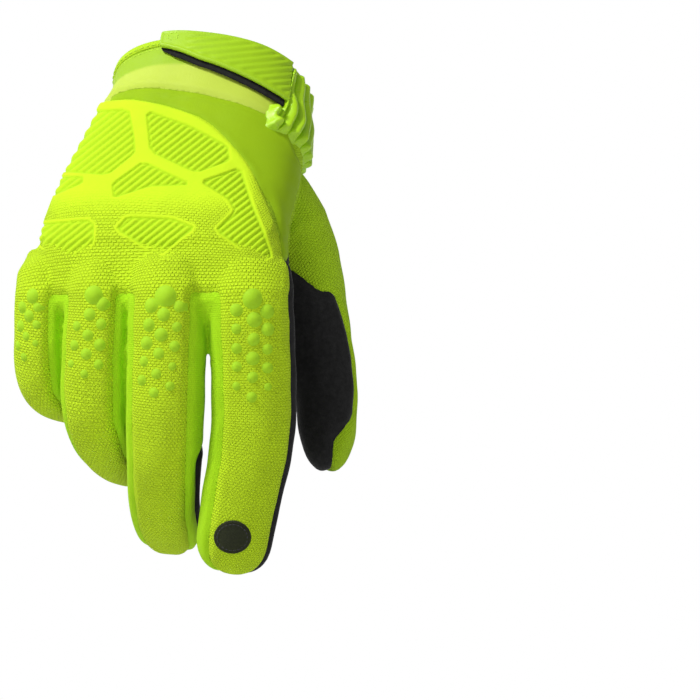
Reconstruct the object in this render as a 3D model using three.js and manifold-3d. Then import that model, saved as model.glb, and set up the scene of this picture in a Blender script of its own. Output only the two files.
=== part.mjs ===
// An off-road riding glove for the right hand, filled out as it is when worn and
// reaching over a bar: the cuff opens up and back, the knuckles face the viewer at -Y,
// the fingers hang down along -Z and the thumb is at +X. Millimetres, +Z up.
// The origin is the centre of the cuff's opening, where the hand goes in.
import * as THREE from "three";
import { mergeVertices } from "three/addons/utils/BufferGeometryUtils.js";
import Module from "manifold-3d";

const wasm = await Module();
wasm.setup();

// Fabric
const WALL = 1.8; // knit back, lining included
const GAP = 0.3; // between neighbouring pieces
const CUT_MARGIN = 0.8; // how far a seam cutter stands out of the fabric

// Hand, from the cuff's opening to the webs between the fingers
const HAND_LENGTH = 115;
const HAND_WIDTH = 97; // across the knuckles
const HAND_DEPTH = 40;

// Each row is a section: the step that leads to it as a share of the hand's length and
// the way that step points, then the section's own turn and its sizes as shares.
// pitch: degrees from straight down towards the viewer. lean: degrees towards the thumb.
// turn: degrees that the little finger's side swings away from the viewer.
// tip: degrees that the thumb's side drops. square: exponent of the section's ellipse.
const HAND_SECTIONS = [
  { step: 0, pitch: 42, lean: -3, turn: 2, tip: 9, wide: 0.76, back: 0.6, palm: 0.56, square: 2.2 },
  { step: 0.1, pitch: 41, lean: -4, turn: 3, tip: 9, wide: 0.77, back: 0.58, palm: 0.55, square: 2.2 },
  { step: 0.1, pitch: 39, lean: -7, turn: 5, tip: 7, wide: 0.82, back: 0.55, palm: 0.54, square: 2.25 },
  { step: 0.18, pitch: 36, lean: -12, turn: 9, tip: 5, wide: 0.89, back: 0.5, palm: 0.5, square: 2.35 },
  { step: 0.2, pitch: 32, lean: -15, turn: 13, tip: 3, wide: 0.95, back: 0.46, palm: 0.46, square: 2.5 },
  { step: 0.17, pitch: 25, lean: -9, turn: 16, tip: 1, wide: 1.0, back: 0.43, palm: 0.42, square: 2.7 },
  { step: 0.14, pitch: 16, lean: -4, turn: 18, tip: 0, wide: 1.0, back: 0.34, palm: 0.38, square: 2.7 },
  { step: 0.11, pitch: 4, lean: -3, turn: 18, tip: 0, wide: 0.98, back: 0.1, palm: 0.3, square: 2.6 },
];
const HAND_RINGS = 9;
const HAND_SIDES = 20;

// Fingers. across: degrees that the line of knuckles turns back on the way to the next
// finger. roll: degrees that the back of the finger faces the little finger's side.
// lengths: the three bones. curl: degrees of each from straight down towards the palm.
// lean: degrees of each towards the thumb. seams: where the back and palm panels end,
// in degrees round the finger from its back, on the little finger's side and the thumb's.
const FINGERS = [
  {
    name: "index", width: 31, depth: 23, across: 3, roll: -4,
    lengths: [50, 30, 25], curl: [4, 9, 14], lean: [1, -10, -9],
    back: [48, 62], palm: [100, 62],
  },
  {
    name: "middle", width: 28.8, depth: 22.5, across: 22, roll: 13,
    lengths: [50, 33, 28], curl: [5, 30, 54], lean: [-2, -2, 4],
    back: [48, 48], palm: [100, 75],
  },
  {
    name: "ring", width: 26.5, depth: 21.5, across: 27, roll: 20,
    lengths: [46, 31, 27], curl: [9, 54, 90], lean: [-2, 16, 26],
    back: [48, 48], palm: [100, 75],
  },
  {
    name: "little", width: 23, depth: 19.5, across: 0, roll: 36,
    lengths: [34, 23, 23], curl: [14, 68, 98], lean: [0, 26, 34],
    back: [92, 48], palm: [92, 75],
  },
];
const INDEX_KNUCKLE = { distance: 99, across: 0.76, outward: 0.12 };
const FINGER_GAP = 0.1; // between neighbouring fingers at the knuckles
const ROOT_LENGTH = 18; // how far a finger's tube reaches back into the hand
const ROOT_CURL = -18;
const FINGER_SQUARENESS = 2.15;
const FINGER_SIDES = 12;
const HOLLOW_SIDES = { hand: 14, finger: 8 };
const FINGER_CUT = { sides: 8, grow: CUT_MARGIN };
const HAND_CUT = { sides: 14, grow: 3 };
const SLEEVE_RINGS = 4;
const SLANT = 1.5; // seams that cross the fabric at a slant are opened by this much more
const SMALLEST_EDGE = 0.06; // detail finer than this is left out of a piece
// at: 0 is the root, 1 the knuckle, 2 and 3 the joints, 4 the tip.
const FINGER_SECTIONS = [
  { at: 0, wide: 0.7, deep: 0.4 },
  { at: 0.55, wide: 0.95, deep: 0.9 },
  { at: 1, wide: 1, deep: 1.05 },
  { at: 1.45, wide: 1, deep: 1 },
  { at: 1.9, wide: 1, deep: 0.98 },
  { at: 2.35, wide: 0.97, deep: 0.95 },
  { at: 2.9, wide: 0.93, deep: 0.9 },
  { at: 3.4, wide: 0.91, deep: 0.84 },
  { at: 3.72, wide: 0.82, deep: 0.73 },
  { at: 3.93, wide: 0.55, deep: 0.48 },
  { at: 4, wide: 0.28, deep: 0.24 },
];

// Thumb: its joints from inside the wrist to the tip, and its sections.
const THUMB_ROLL = 217;
const THUMB_WIDTH = 27;
const THUMB_DEPTH = 24;
const THUMB_JOINTS = [
  { x: 16, y: -18, z: -34 },
  { x: 27, y: -12, z: -56 },
  { x: 38.5, y: -12, z: -86 },
  { x: 44.8, y: -16, z: -116 },
  { x: 46.3, y: -22, z: -148 },
];
const THUMB_SECTIONS = [
  { at: 0, wide: 1.05, deep: 1.2 },
  { at: 0.5, wide: 1.35, deep: 1.45 },
  { at: 1, wide: 1.5, deep: 1.5 },
  { at: 1.5, wide: 1.4, deep: 1.35 },
  { at: 2, wide: 1.15, deep: 1.15 },
  { at: 2.5, wide: 1, deep: 1 },
  { at: 3, wide: 0.92, deep: 0.95 },
  { at: 3.35, wide: 0.85, deep: 0.88 },
  { at: 3.72, wide: 0.7, deep: 0.7 },
  { at: 3.93, wide: 0.48, deep: 0.46 },
  { at: 4, wide: 0.26, deep: 0.24 },
];

// Knuckle dots, on the backs of the fingers. One large dot sits on the knuckle, with
// three columns below it that shrink towards the fingertip.
const LARGE_DOT = { at: 0.98, radius: 3.1 };
const DOT_COLUMNS = [
  { angle: -25, first: 1.07 },
  { angle: 2, first: 1.13 },
  { angle: 27, first: 1.07 },
];
const DOT_RADII = [1.9, 1.75, 1.6, 1.45, 1.3];
const DOT_STEP = 0.146; // between the dots of a column, on the scale of at
const DOT_HEIGHT = 0.55; // share of the radius
const DOT_FOOT = { sunk: 1.2, wide: 1.25 }; // depth in the fabric, and width as a share
const DOT_TOP = 0.5; // width at the top, as a share
const DOT_SIDES = 5;

// Cuff, in millimetres from the opening towards the fingers
const CUFF_LENGTH = 24;
const CUFF_TILT = 4; // longer by this on the thumb's side
const BINDING = { start: -1.5, end: 2.4, outside: 0.5, inside: 0.5 };
const CUFF_MARGIN = 8; // how far the cuff's cutter stands out round the hand
const OPENING_MARGIN = 8; // how far cutters reach out of the opening

// Strap, over the back of the cuff. angle: degrees from the back towards the thumb.
const STRAP_SECTIONS = [
  { angle: -27, low: -2.5, high: 5.5 },
  { angle: -18, low: -2.5, high: 7.5 },
  { angle: -4, low: -2, high: 11.5 },
  { angle: 12, low: -1.5, high: 15 },
  { angle: 28, low: -1, high: 17.5 },
  { angle: 44, low: 0, high: 19 },
  { angle: 48, low: 0.3, high: 19.3 },
];
const STRAP_THICKNESS = 1.6;
const HOOK_THICKNESS = 0.8;
const HOOK_SHOWS = 1.8; // the hook layer stands out below the strap by this
const HOOK_INSET = 1; // and ends this far short of its upper edge
const STRAP_RIBS = 6;
const STRAP_RIB_START = -16; // degrees
const STRAP_RIB_PITCH = 9; // degrees
const STRAP_RIB_PLACE = 6;
const RIB_SLOPE = 16; // degrees round the cuff that a rib moves across the strap
const RIB_WIDTH = 1.6;
const RIB_HEIGHT = 0.6;

// Gathered side of the cuff that the strap comes out of, at the thumb's side
const GATHER = { from: 50, to: 128, low: 3, high: 31, lift: 0.3, thick: 1.6, swell: 1.8 };
const GATHER_FOLDS = 6;
const GATHER_STEPS = 36;
const GATHER_LUMP = { angles: [39, 42, 46, 49.5], low: 22.5, swell: 1.4 }; // beside the strap's lower corner

// Diagonal ribs on the palm side of the cuff
const CUFF_RIBS = { from: 152, to: 232, low: 6, high: 21, count: 7 };

// Where the palm panel ends, in degrees round the hand from its back, for stations
// along the hand.
const PALM_EDGES = [
  { station: 0, thumb: 150, little: 262 },
  { station: 2.2, thumb: 140, little: 262 },
  { station: 4, thumb: 112, little: 262 },
  { station: 5.4, thumb: 86, little: 262 },
  { station: 7, thumb: 88, little: 262 },
];
const THUMB_PANEL = { from: 58, to: 158, stations: 6 }; // where it wraps round the hand
// Black side of the thumb, in degrees round it, for its sections from the second on
const THUMB_PALM = [
  { from: 112, to: 200 },
  { from: 112, to: 203 },
  { from: 112, to: 206 },
  { from: 112, to: 265 },
  { from: 64, to: 281 },
  { from: 64, to: 285 },
  { from: 64, to: 278 },
  { from: 64, to: 226 },
  { from: 64, to: 226 },
  { from: 64, to: 226 },
];

// Outlines on the back, as the viewer sees them: x and z on the plane of the knuckles
const EYE = { x: 54.5, y: -1000, z: -102 };
const OUTLINE_PLANE = -40;
const VIEW_REACH = { near: -120, far: 20 }; // y where cutters along the sight lines start and end
const BACK_HALF = 93; // degrees to each side that count as the back of the hand
const WRIST_OUTLINE = [
  [-52, 6], [-44, -7], [-37.2, -7.3], [-26.3, -6.5], [-13.4, -9.2], [0.1, -13.7], [9.2, -21.2],
  [18.3, -32.2], [23.2, -43.1], [27.7, -54.1], [30.3, -65.8], [32.2, -72.6], [35.6, -71.1],
  [39.4, -64.3], [40.5, -51], [39.4, -39.7], [35.6, -32.2], [31.9, -23.5], [32, 6],
];
const PAD_OUTLINE = [
  [-36.3, -8.8], [-25.4, -8.1], [-12.9, -10.7], [-0.3, -15.2], [8.7, -22.7], [17.6, -33.5], [22.5, -44.3],
  [27, -55.2], [29.6, -66.3], [28, -70], [24, -71.5], [19.5, -69.5], [12, -66], [-2, -65], [-16, -69.5],
  [-31, -66], [-41, -66], [-49, -71.5], [-60, -66], [-68.8, -64], [-68.8, -50], [-53.8, -24], [-44.5, -10.5],
];
const PAD_CELLS = [
  [[-45.3, -14.2], [-27.7, -12.7], [-25.8, -22.4], [-25.4, -28.8], [-35.5, -37], [-56.1, -34]],
  [[-21.3, -13.1], [-4.5, -19.1], [8.9, -26.5], [9.7, -31.8], [-2.7, -36.3], [-19.8, -28.4]],
  [[-22.4, -32.1], [-4.5, -40.7], [-33.3, -45.6], [-34, -40.4]],
  [
    [-1.2, -39.6], [13.4, -34.4], [18.2, -49], [25.4, -67],
    [21.6, -68.5], [4.4, -57.9], [10.5, -50.5], [7, -46.5],
  ],
  [[-58, -55.5], [-43, -53.8], [-40.8, -55.7], [-41.1, -61.7], [-48.6, -69.1], [-58, -63.6]],
  [[-32.5, -57.2], [-28.4, -52.7], [-11.6, -53.4], [-3, -56.8], [-16.8, -66.5]],
  [[-55.1, -37.8], [-44.9, -37.8], [-44.9, -40], [-54.3, -44]],
];
const PAD_THICKNESS = 1.3;
const CELL_DEPTH = 0.7;
const RIB_DROP = 0.1; // the ribs end this far below the flat ridges between the cells
const CELL_RIB_PITCH = 5.4;
const CELL_RIB_WIDTH = 2.5;
const CELL_RIB_RISE = 38; // degrees up towards the thumb's side

// Touch patch on the index fingertip
const PATCH = { x: 10.8, z: -171.5, wide: 14.8, high: 12.9, thick: 0.7, sides: 16, back: -60 };

// Palm pads: shares of the hand's half width from its middle towards the thumb, and of
// the hand's length from the opening.
const UPPER_PALM_PAD = [
  [-0.95, 0.86], [-0.73, 0.88], [-0.44, 0.9], [-0.25, 0.9], [-0.04, 0.85], [0.18, 0.91], [0.33, 0.91],
  [0.53, 0.84], [0.73, 0.9], [0.93, 0.9], [0.93, 0.77], [0.9, 0.735], [0.05, 0.71], [-0.47, 0.68],
  [-0.92, 0.7],
];
const LOWER_PALM_PAD = [
  [-0.45, 0.645], [-0.25, 0.624], [0.72, 0.628], [0.51, 0.4], [0.43, 0.3], [0.38, 0.27], [0.07, 0.27],
  [0.02, 0.41], [-0.13, 0.49], [-0.22, 0.41], [-0.29, 0.27], [-0.8, 0.28], [-0.76, 0.41], [-0.66, 0.55],
];
const PALM_PAD_THICKNESS = 1.1;
const PALM_START = 4; // how far from the middle of the hand the palm's cutters start

// Shared pieces of geometry
const rad = THREE.MathUtils.degToRad;
const deg = THREE.MathUtils.radToDeg;
const vec = (x, y, z) => new THREE.Vector3(x, y, z);

// A unit step down that is pitched towards the viewer and leans towards the thumb.
const heading = (pitch, lean) =>
  vec(
    Math.sin(rad(lean)),
    -Math.sin(rad(pitch)) * Math.cos(rad(lean)),
    -Math.cos(rad(pitch)) * Math.cos(rad(lean)),
  );

// Catmull-Rom value of a list of numbers at a fractional index.
function spline(values, at) {
  const i = Math.min(Math.floor(at), values.length - 2);
  const f = at - i;
  const p = [i - 1, i, i + 1, i + 2].map((k) => values[THREE.MathUtils.clamp(k, 0, values.length - 1)]);
  const cubic = 3 * (p[1] - p[2]) + p[3] - p[0];
  const square = 2 * p[0] - 5 * p[1] + 4 * p[2] - p[3];
  return p[1] + 0.5 * f * (p[2] - p[0] + f * (square + f * cubic));
}

// A frame is a section's centre with its side (towards the thumb), its back and its
// along (towards the fingertips) directions, its half width and half depths.
function frameAt(centre, along, side, half, back, palm, square) {
  const straight = side.clone().addScaledVector(along, -side.dot(along)).normalize();
  const back_ = along.clone().cross(straight).normalize();
  return { centre, along, side: straight, back_, half, back, palm, square };
}

// The point of a frame's section at an angle from its back towards the thumb's side.
function sectionPoint(frame, degrees, grow) {
  const s = Math.sin(rad(degrees));
  const c = Math.cos(rad(degrees));
  const round = (v) => Math.sign(v) * Math.abs(v) ** (2 / frame.square);
  const depth = c > 0 ? frame.back : frame.palm;
  return frame.centre
    .clone()
    .addScaledVector(frame.side, Math.max(frame.half + grow, 0.4) * round(s))
    .addScaledVector(frame.back_, Math.max(depth + grow, 0.4) * round(c));
}

// A closed solid of points and triangles, turned the right way out.
function solidOf(points, index) {
  const geometry = new THREE.BufferGeometry().setFromPoints(points);
  geometry.setIndex(index);
  const merged = mergeVertices(geometry, 1e-4);
  const triangles = new Uint32Array(merged.index.array);
  const at = (k) => vec(0, 0, 0).fromBufferAttribute(merged.attributes.position, triangles[k]);
  let volume = 0;
  for (let k = 0; k < triangles.length; k += 3) volume += at(k).dot(at(k + 1).cross(at(k + 2)));
  if (volume < 0) triangles.reverse();
  return new wasm.Manifold(
    new wasm.Mesh({ numProp: 3, vertProperties: merged.attributes.position.array, triVerts: triangles }),
  );
}

// A closed solid through rings of points, with a fan at each end.
function loft(rings) {
  const count = rings[0].length;
  const middle = (ring) => ring.reduce((sum, p) => sum.add(p), vec(0, 0, 0)).divideScalar(count);
  const points = [...rings.flat(), middle(rings[0]), middle(rings.at(-1))];
  const index = [];
  for (let k = 0; k + 1 < rings.length; k++) {
    for (let i = 0; i < count; i++) {
      const j = (i + 1) % count;
      const [a, b, c, d] = [k * count + i, k * count + j, (k + 1) * count + i, (k + 1) * count + j];
      index.push(a, c, b, b, c, d);
    }
  }
  const last = (rings.length - 1) * count;
  for (let i = 0; i < count; i++) {
    const j = (i + 1) % count;
    index.push(points.length - 2, i, j, points.length - 1, last + j, last + i);
  }
  return solidOf(points, index);
}

// A solid between two outlines that match point by point. flat is the same outline in
// the plane, for the triangles of the two ends.
function prism(flat, near, far) {
  const count = flat.length;
  const faces = THREE.ShapeUtils.triangulateShape(flat.map(([u, v]) => new THREE.Vector2(u, v)), []);
  const turned = THREE.ShapeUtils.isClockWise(flat.map(([u, v]) => new THREE.Vector2(u, v)));
  const index = [];
  for (const [a, b, c] of faces) index.push(a, b, c, count + a, count + c, count + b);
  for (let i = 0; i < count; i++) {
    const [a, b] = turned ? [(i + 1) % count, i] : [i, (i + 1) % count];
    index.push(b, a, count + a, b, count + a, count + b);
  }
  return solidOf([...near, ...far], index);
}

const union = (solids) => solids.reduce((sum, solid) => sum.add(solid));

function meshOf(name, solid, material) {
  const { numProp, vertProperties, triVerts, numVert } = solid.getMesh();
  const position = new Float32Array(numVert * 3);
  for (let i = 0; i < numVert; i++) {
    position.set(vertProperties.subarray(i * numProp, i * numProp + 3), i * 3);
  }
  const geometry = new THREE.BufferGeometry();
  geometry.setAttribute("position", new THREE.BufferAttribute(position, 3));
  geometry.setIndex(new THREE.BufferAttribute(triVerts, 1));
  geometry.computeVertexNormals();
  const mesh = new THREE.Mesh(geometry, material);
  mesh.name = name;
  return mesh;
}

// The hand's frames, walked from the cuff's opening.
function handFrames() {
  const walk = [];
  const centre = vec(0, 0, 0);
  for (const row of HAND_SECTIONS) {
    centre.addScaledVector(heading(row.pitch, row.lean), row.step * HAND_LENGTH);
    walk.push(centre.clone());
  }
  const curve = new THREE.CatmullRomCurve3(walk, false, "centripetal");
  const column = (key) => HAND_SECTIONS.map((row) => row[key]);
  return Array.from({ length: HAND_RINGS }, (_, k) => {
    const t = k / (HAND_RINGS - 1);
    const at = t * (walk.length - 1);
    const turn = rad(spline(column("turn"), at));
    const tip = rad(spline(column("tip"), at));
    const side = vec(Math.cos(turn), -Math.sin(turn), -Math.sin(tip));
    return frameAt(
      curve.getPoint(t),
      curve.getTangent(t),
      side,
      (spline(column("wide"), at) * HAND_WIDTH) / 2,
      (spline(column("back"), at) * HAND_DEPTH),
      (spline(column("palm"), at) * HAND_DEPTH),
      spline(column("square"), at),
    );
  });
}

function ringsOf(frames, sides, grow, from = 0, to = 360) {
  const whole = to - from === 360;
  return frames.map((frame) =>
    Array.from({ length: whole ? sides : sides + 1 }, (_, i) =>
      sectionPoint(frame, from + ((to - from) * i) / sides, grow),
    ),
  );
}

const HAND = handFrames();

// Where each finger's knuckle is, from the index finger towards the little finger.
function knuckles() {
  const frame = onHand(INDEX_KNUCKLE.distance);
  const start = frame.centre
    .clone()
    .addScaledVector(frame.side, INDEX_KNUCKLE.across * frame.half)
    .addScaledVector(frame.back_, INDEX_KNUCKLE.outward * frame.back);
  const places = [start];
  for (let i = 1; i < FINGERS.length; i++) {
    const step = (FINGERS[i - 1].width + FINGERS[i].width) / 2 + FINGER_GAP;
    const angle = rad(FINGERS[i - 1].across);
    places.push(places[i - 1].clone().add(vec(-Math.cos(angle) * step, Math.sin(angle) * step, 0)));
  }
  return places;
}

function tubeFrames(joints, sections, roll, width, depth) {
  const curve = new THREE.CatmullRomCurve3(joints, false, "centripetal");
  const side = vec(Math.cos(rad(roll)), -Math.sin(rad(roll)), 0);
  return sections.map((row) => {
    const t = row.at / (joints.length - 1);
    const half = (depth * row.deep) / 2;
    const place = [curve.getPoint(t), curve.getTangent(t), side];
    return frameAt(...place, (width * row.wide) / 2, half, half, FINGER_SQUARENESS);
  });
}

function fingerFrames(finger, knuckle) {
  const joints = [knuckle.clone().addScaledVector(heading(-ROOT_CURL, 0), -ROOT_LENGTH), knuckle.clone()];
  finger.lengths.forEach((length, i) => {
    joints.push(joints.at(-1).clone().addScaledVector(heading(-finger.curl[i], finger.lean[i]), length));
  });
  return tubeFrames(joints, FINGER_SECTIONS, finger.roll, finger.width, finger.depth);
}

function lerpFrame(a, b, f) {
  const mix = (key) => a[key] + (b[key] - a[key]) * f;
  const centre = a.centre.clone().lerp(b.centre, f);
  const along = a.along.clone().lerp(b.along, THREE.MathUtils.clamp(f, 0, 1));
  const side = a.side.clone().lerp(b.side, THREE.MathUtils.clamp(f, 0, 1));
  return frameAt(centre, along.normalize(), side, mix("half"), mix("back"), mix("palm"), a.square);
}

// The frame where a rising list of places reaches a value.
function frameWhere(frames, places, value) {
  const next = places.findIndex((place) => place > value);
  const k = THREE.MathUtils.clamp(next < 0 ? places.length - 1 : next, 1, places.length - 1);
  return lerpFrame(frames[k - 1], frames[k], (value - places[k - 1]) / (places[k] - places[k - 1]));
}

const HAND_PLACES = [0];
HAND.slice(1).forEach((frame, k) => {
  HAND_PLACES.push(HAND_PLACES[k] + frame.centre.distanceTo(HAND[k].centre));
});
const FINGER_PLACES = FINGER_SECTIONS.map((row) => row.at);
const onHand = (distance) => frameWhere(HAND, HAND_PLACES, distance);
const handPoint = (angle, distance, grow) => sectionPoint(onHand(distance), angle, grow);

const KNUCKLES = knuckles();
const FINGER_TUBES = FINGERS.map((finger, i) => fingerFrames(finger, KNUCKLES[i]));
const THUMB_POINTS = THUMB_JOINTS.map(({ x, y, z }) => vec(x, y, z));
const THUMB_TUBE = tubeFrames(THUMB_POINTS, THUMB_SECTIONS, THUMB_ROLL, THUMB_WIDTH, THUMB_DEPTH);
const TUBES = [...FINGER_TUBES, THUMB_TUBE];

const skin = (grow) =>
  union([
    loft(ringsOf(HAND, HAND_SIDES, grow)),
    ...TUBES.map((frames) => loft(ringsOf(frames, FINGER_SIDES, grow))),
  ]);

// The room for the hand stops short of the fingertips and runs out of the opening.
const hollowFrames = [onHand(-OPENING_MARGIN), ...HAND.slice(0, -1), onHand(HAND_PLACES.at(-1) - WALL)];
const hollow = union([
  loft(ringsOf(hollowFrames, HOLLOW_SIDES.hand, -WALL)),
  ...TUBES.map((frames) => loft(ringsOf(frames.slice(0, -1), HOLLOW_SIDES.finger, -WALL))),
]);

// A slice of a tube between two angles, from its centre line to just outside the skin.
function slice(frames, from, to, { sides, grow }) {
  return loft(
    frames.map((frame, k) => [frame.centre, ...ringsOf([frame], sides, grow, from[k], to[k])[0]]),
  );
}

// A tube's frames, longer by a little at the start and beyond the tip.
const longer = (frames, before, after) => {
  const shift = (frame, by) => {
    const centre = frame.centre.clone().addScaledVector(frame.along, by);
    return { ...frame, centre };
  };
  return [shift(frames[0], -before), ...frames.slice(1), shift(frames.at(-1), after)];
};

// A list with its last entry twice, as a longer tube has one section more.
const ended = (list) => [...list, list.at(-1)];

// A ring of the cuff between two distances from the opening, which may follow the angle.
function sleeve(low, high, grow) {
  const rings = Array.from({ length: SLEEVE_RINGS }, (_, k) =>
    Array.from({ length: HAND_SIDES }, (_, i) => {
      const angle = (360 * i) / HAND_SIDES;
      const share = k / (SLEEVE_RINGS - 1);
      return handPoint(angle, low(angle) * (1 - share) + high(angle) * share, grow);
    }),
  );
  return loft(rings);
}

// A band round part of the cuff, from rows of an angle with its low and high edges.
const band = (rows, lift, thick) =>
  loft(
    rows.map(({ angle, low, high, swell = 0 }) => [
      handPoint(angle, low, lift),
      handPoint(angle, high, lift),
      handPoint(angle, high, lift + thick + swell),
      handPoint(angle, low, lift + thick + swell),
    ]),
  );

// A raised bar on the cuff or the strap that runs from one place to another.
function bar(from, to, lift) {
  const rows = [0, 1].map((f) => {
    const angle = from.angle + (to.angle - from.angle) * f;
    const middle = from.place + (to.place - from.place) * f;
    return { angle, low: middle - RIB_WIDTH / 2, high: middle + RIB_WIDTH / 2 };
  });
  return band(rows, lift - RIB_HEIGHT, 2 * RIB_HEIGHT);
}

// A prism along the viewer's lines of sight through an outline on the outline plane.
function viewPrism(outline, near, far) {
  const eye = vec(EYE.x, EYE.y, EYE.z);
  const reach = (y) =>
    outline.map(([x, z]) =>
      vec(x, OUTLINE_PLANE, z).sub(eye).multiplyScalar((y - EYE.y) / (OUTLINE_PLANE - EYE.y)).add(eye),
    );
  return prism(outline, reach(near), reach(far));
}

// A prism from the middle of the hand out through the palm.
function palmPrism(outline) {
  const reach = (depth) =>
    outline.map(([across, share]) => {
      const frame = onHand(share * HAND_PLACES.at(-1));
      return frame.centre
        .clone()
        .addScaledVector(frame.side, across * frame.half)
        .addScaledVector(frame.back_, -depth);
    });
  return prism(outline, reach(PALM_START), reach(HAND_DEPTH));
}

function dot(tube, at, angle, radius) {
  const frame = frameWhere(tube, FINGER_PLACES, at);
  const base = sectionPoint(frame, angle, 0);
  const out = base.clone().sub(frame.centre);
  out.addScaledVector(frame.along, -out.dot(frame.along)).normalize();
  const across = frame.along.clone().cross(out);
  const ring = (height, share) =>
    Array.from({ length: DOT_SIDES }, (_, i) => {
      const turn = (2 * Math.PI * i) / DOT_SIDES;
      return base
        .clone()
        .addScaledVector(out, height)
        .addScaledVector(across, Math.cos(turn) * radius * share)
        .addScaledVector(frame.along, Math.sin(turn) * radius * share);
    });
  return loft([ring(-DOT_FOOT.sunk, DOT_FOOT.wide), ring(radius * DOT_HEIGHT, DOT_TOP)]);
}

function dots() {
  const all = [];
  for (const tube of FINGER_TUBES) {
    all.push(dot(tube, LARGE_DOT.at, 0, LARGE_DOT.radius));
    for (const { angle, first } of DOT_COLUMNS) {
      DOT_RADII.forEach((radius, i) => all.push(dot(tube, first + i * DOT_STEP, angle, radius)));
    }
  }
  return all;
}

// The largest body of a solid, without crumbs that a seam cuts off.
function whole(solid) {
  const bodies = solid.simplify(SMALLEST_EDGE).decompose();
  return bodies.sort((a, b) => b.volume() - a.volume())[0];
}

// Seams: each region is the piece itself, and its room is what the neighbours leave free.
function region(frames, from, to, cut = FINGER_CUT) {
  const spare = ended(frames).map((frame) => (SLANT * GAP) / Math.min(frame.half, frame.palm)).map(deg);
  const wider = (range, way) => spare.map((a, k) => (Array.isArray(range) ? range[k] : range) + way * a);
  return {
    piece: slice(longer(frames, 0, CUT_MARGIN), wider(from, 0), wider(to, 0), cut),
    room: slice(longer(frames, GAP, CUT_MARGIN + GAP), wider(from, -1), wider(to, 1), {
      ...cut,
      grow: cut.grow + GAP,
    }),
  };
}
const join = (regions) => ({
  piece: union(regions.map((r) => r.piece)),
  room: union(regions.map((r) => r.room)),
});

// A view cutter and what lies within the gap of it to the sides, above and below.
const SIDEWAYS = [[GAP, 0, 0], [-GAP, 0, 0], [0, 0, GAP], [0, 0, -GAP]];
const spread = (solid) => union(SIDEWAYS.map((by) => solid.translate(by)));
const seam = (angle) => CUFF_LENGTH + CUFF_TILT * Math.sin(rad(angle));
const shell = skin(0).subtract(hollow);
let rest = shell.subtract(sleeve(() => -OPENING_MARGIN, (a) => seam(a) + GAP, CUFF_MARGIN));
const cuffBody = shell.intersect(sleeve(() => BINDING.end + GAP, seam, CUFF_MARGIN - 1));

// Palm: the hand's palm side with the palm sides of the fingers and the thumb
const edgeAt = (station, key) => {
  const k = Math.max(1, PALM_EDGES.findIndex((row) => row.station >= station));
  const [a, b] = [PALM_EDGES[k - 1], PALM_EDGES[k]];
  return a[key] + ((b[key] - a[key]) * (station - a.station)) / (b.station - a.station);
};
const stations = HAND.map((_, k) => (k * (HAND_SECTIONS.length - 1)) / (HAND_RINGS - 1));
const handPalm = region(
  HAND,
  ended(stations).map((s) => edgeAt(s, "thumb")),
  ended(stations).map((s) => edgeAt(s, "little")),
  HAND_CUT,
);
const atKnuckle = FINGER_SECTIONS.findIndex(({ at }) => at === 1);
const fingerPalms = FINGERS.map((finger, i) =>
  region(FINGER_TUBES[i].slice(atKnuckle), finger.palm[1], 360 - finger.palm[0]),
);
const thumbPalm = region(
  THUMB_TUBE.slice(1),
  ended(THUMB_PALM.map(({ from }) => from)),
  ended(THUMB_PALM.map(({ to }) => to)),
);

// Strips between neighbouring fingers, each joined across the web
const WEB_SECTIONS = 3;
function between(k) {
  const [first, second] = [FINGER_TUBES[k], FINGER_TUBES[k + 1]].map((tube) => tube.slice(atKnuckle));
  const [a, b] = [FINGERS[k], FINGERS[k + 1]];
  const corner = (frame, angle) => sectionPoint(frame, angle, 0);
  const web = loft(
    first.slice(0, WEB_SECTIONS).map((frame, i) => [
      corner(frame, -a.back[0]),
      corner(frame, -a.palm[0]),
      corner(second[i], b.palm[1]),
      corner(second[i], b.back[1]),
    ]),
  );
  return join([
    region(first, -a.palm[0], -a.back[0]),
    region(second, b.back[1], b.palm[1]),
    { piece: web, room: web },
  ]);
}

const pieces = [];
const take = (name, { piece, room }) => {
  pieces.push([name, whole(rest.intersect(piece))]);
  rest = rest.subtract(room).subtract(piece);
};
take("palm_panel", handPalm);
FINGERS.forEach((finger, i) => take(`${finger.name}_front`, fingerPalms[i]));
take("thumb_front", thumbPalm);
FINGERS.slice(1).forEach((finger, k) => take(`fourchette_${FINGERS[k].name}_${finger.name}`, between(k)));
const backHalf = slice(HAND, HAND.map(() => -BACK_HALF), HAND.map(() => BACK_HALF), HAND_CUT);
const wrist = viewPrism(WRIST_OUTLINE, VIEW_REACH.near, VIEW_REACH.far).intersect(backHalf);
take("wrist_panel", { piece: wrist, room: spread(wrist) });
const THUMB_STATIONS = HAND.slice(0, THUMB_PANEL.stations);
const even = (angle) => HAND.map(() => angle);
const thumbSide = union([
  loft(ringsOf(longer(THUMB_TUBE, 0, 2), FINGER_SIDES, 2)),
  slice(THUMB_STATIONS, even(THUMB_PANEL.from), even(THUMB_PANEL.to), HAND_CUT),
]);
take("thumb_panel", { piece: thumbSide, room: spread(thumbSide) });
pieces.push(["back_panel", whole(rest.add(union(dots())))]);

const glove = new THREE.Group();
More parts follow.
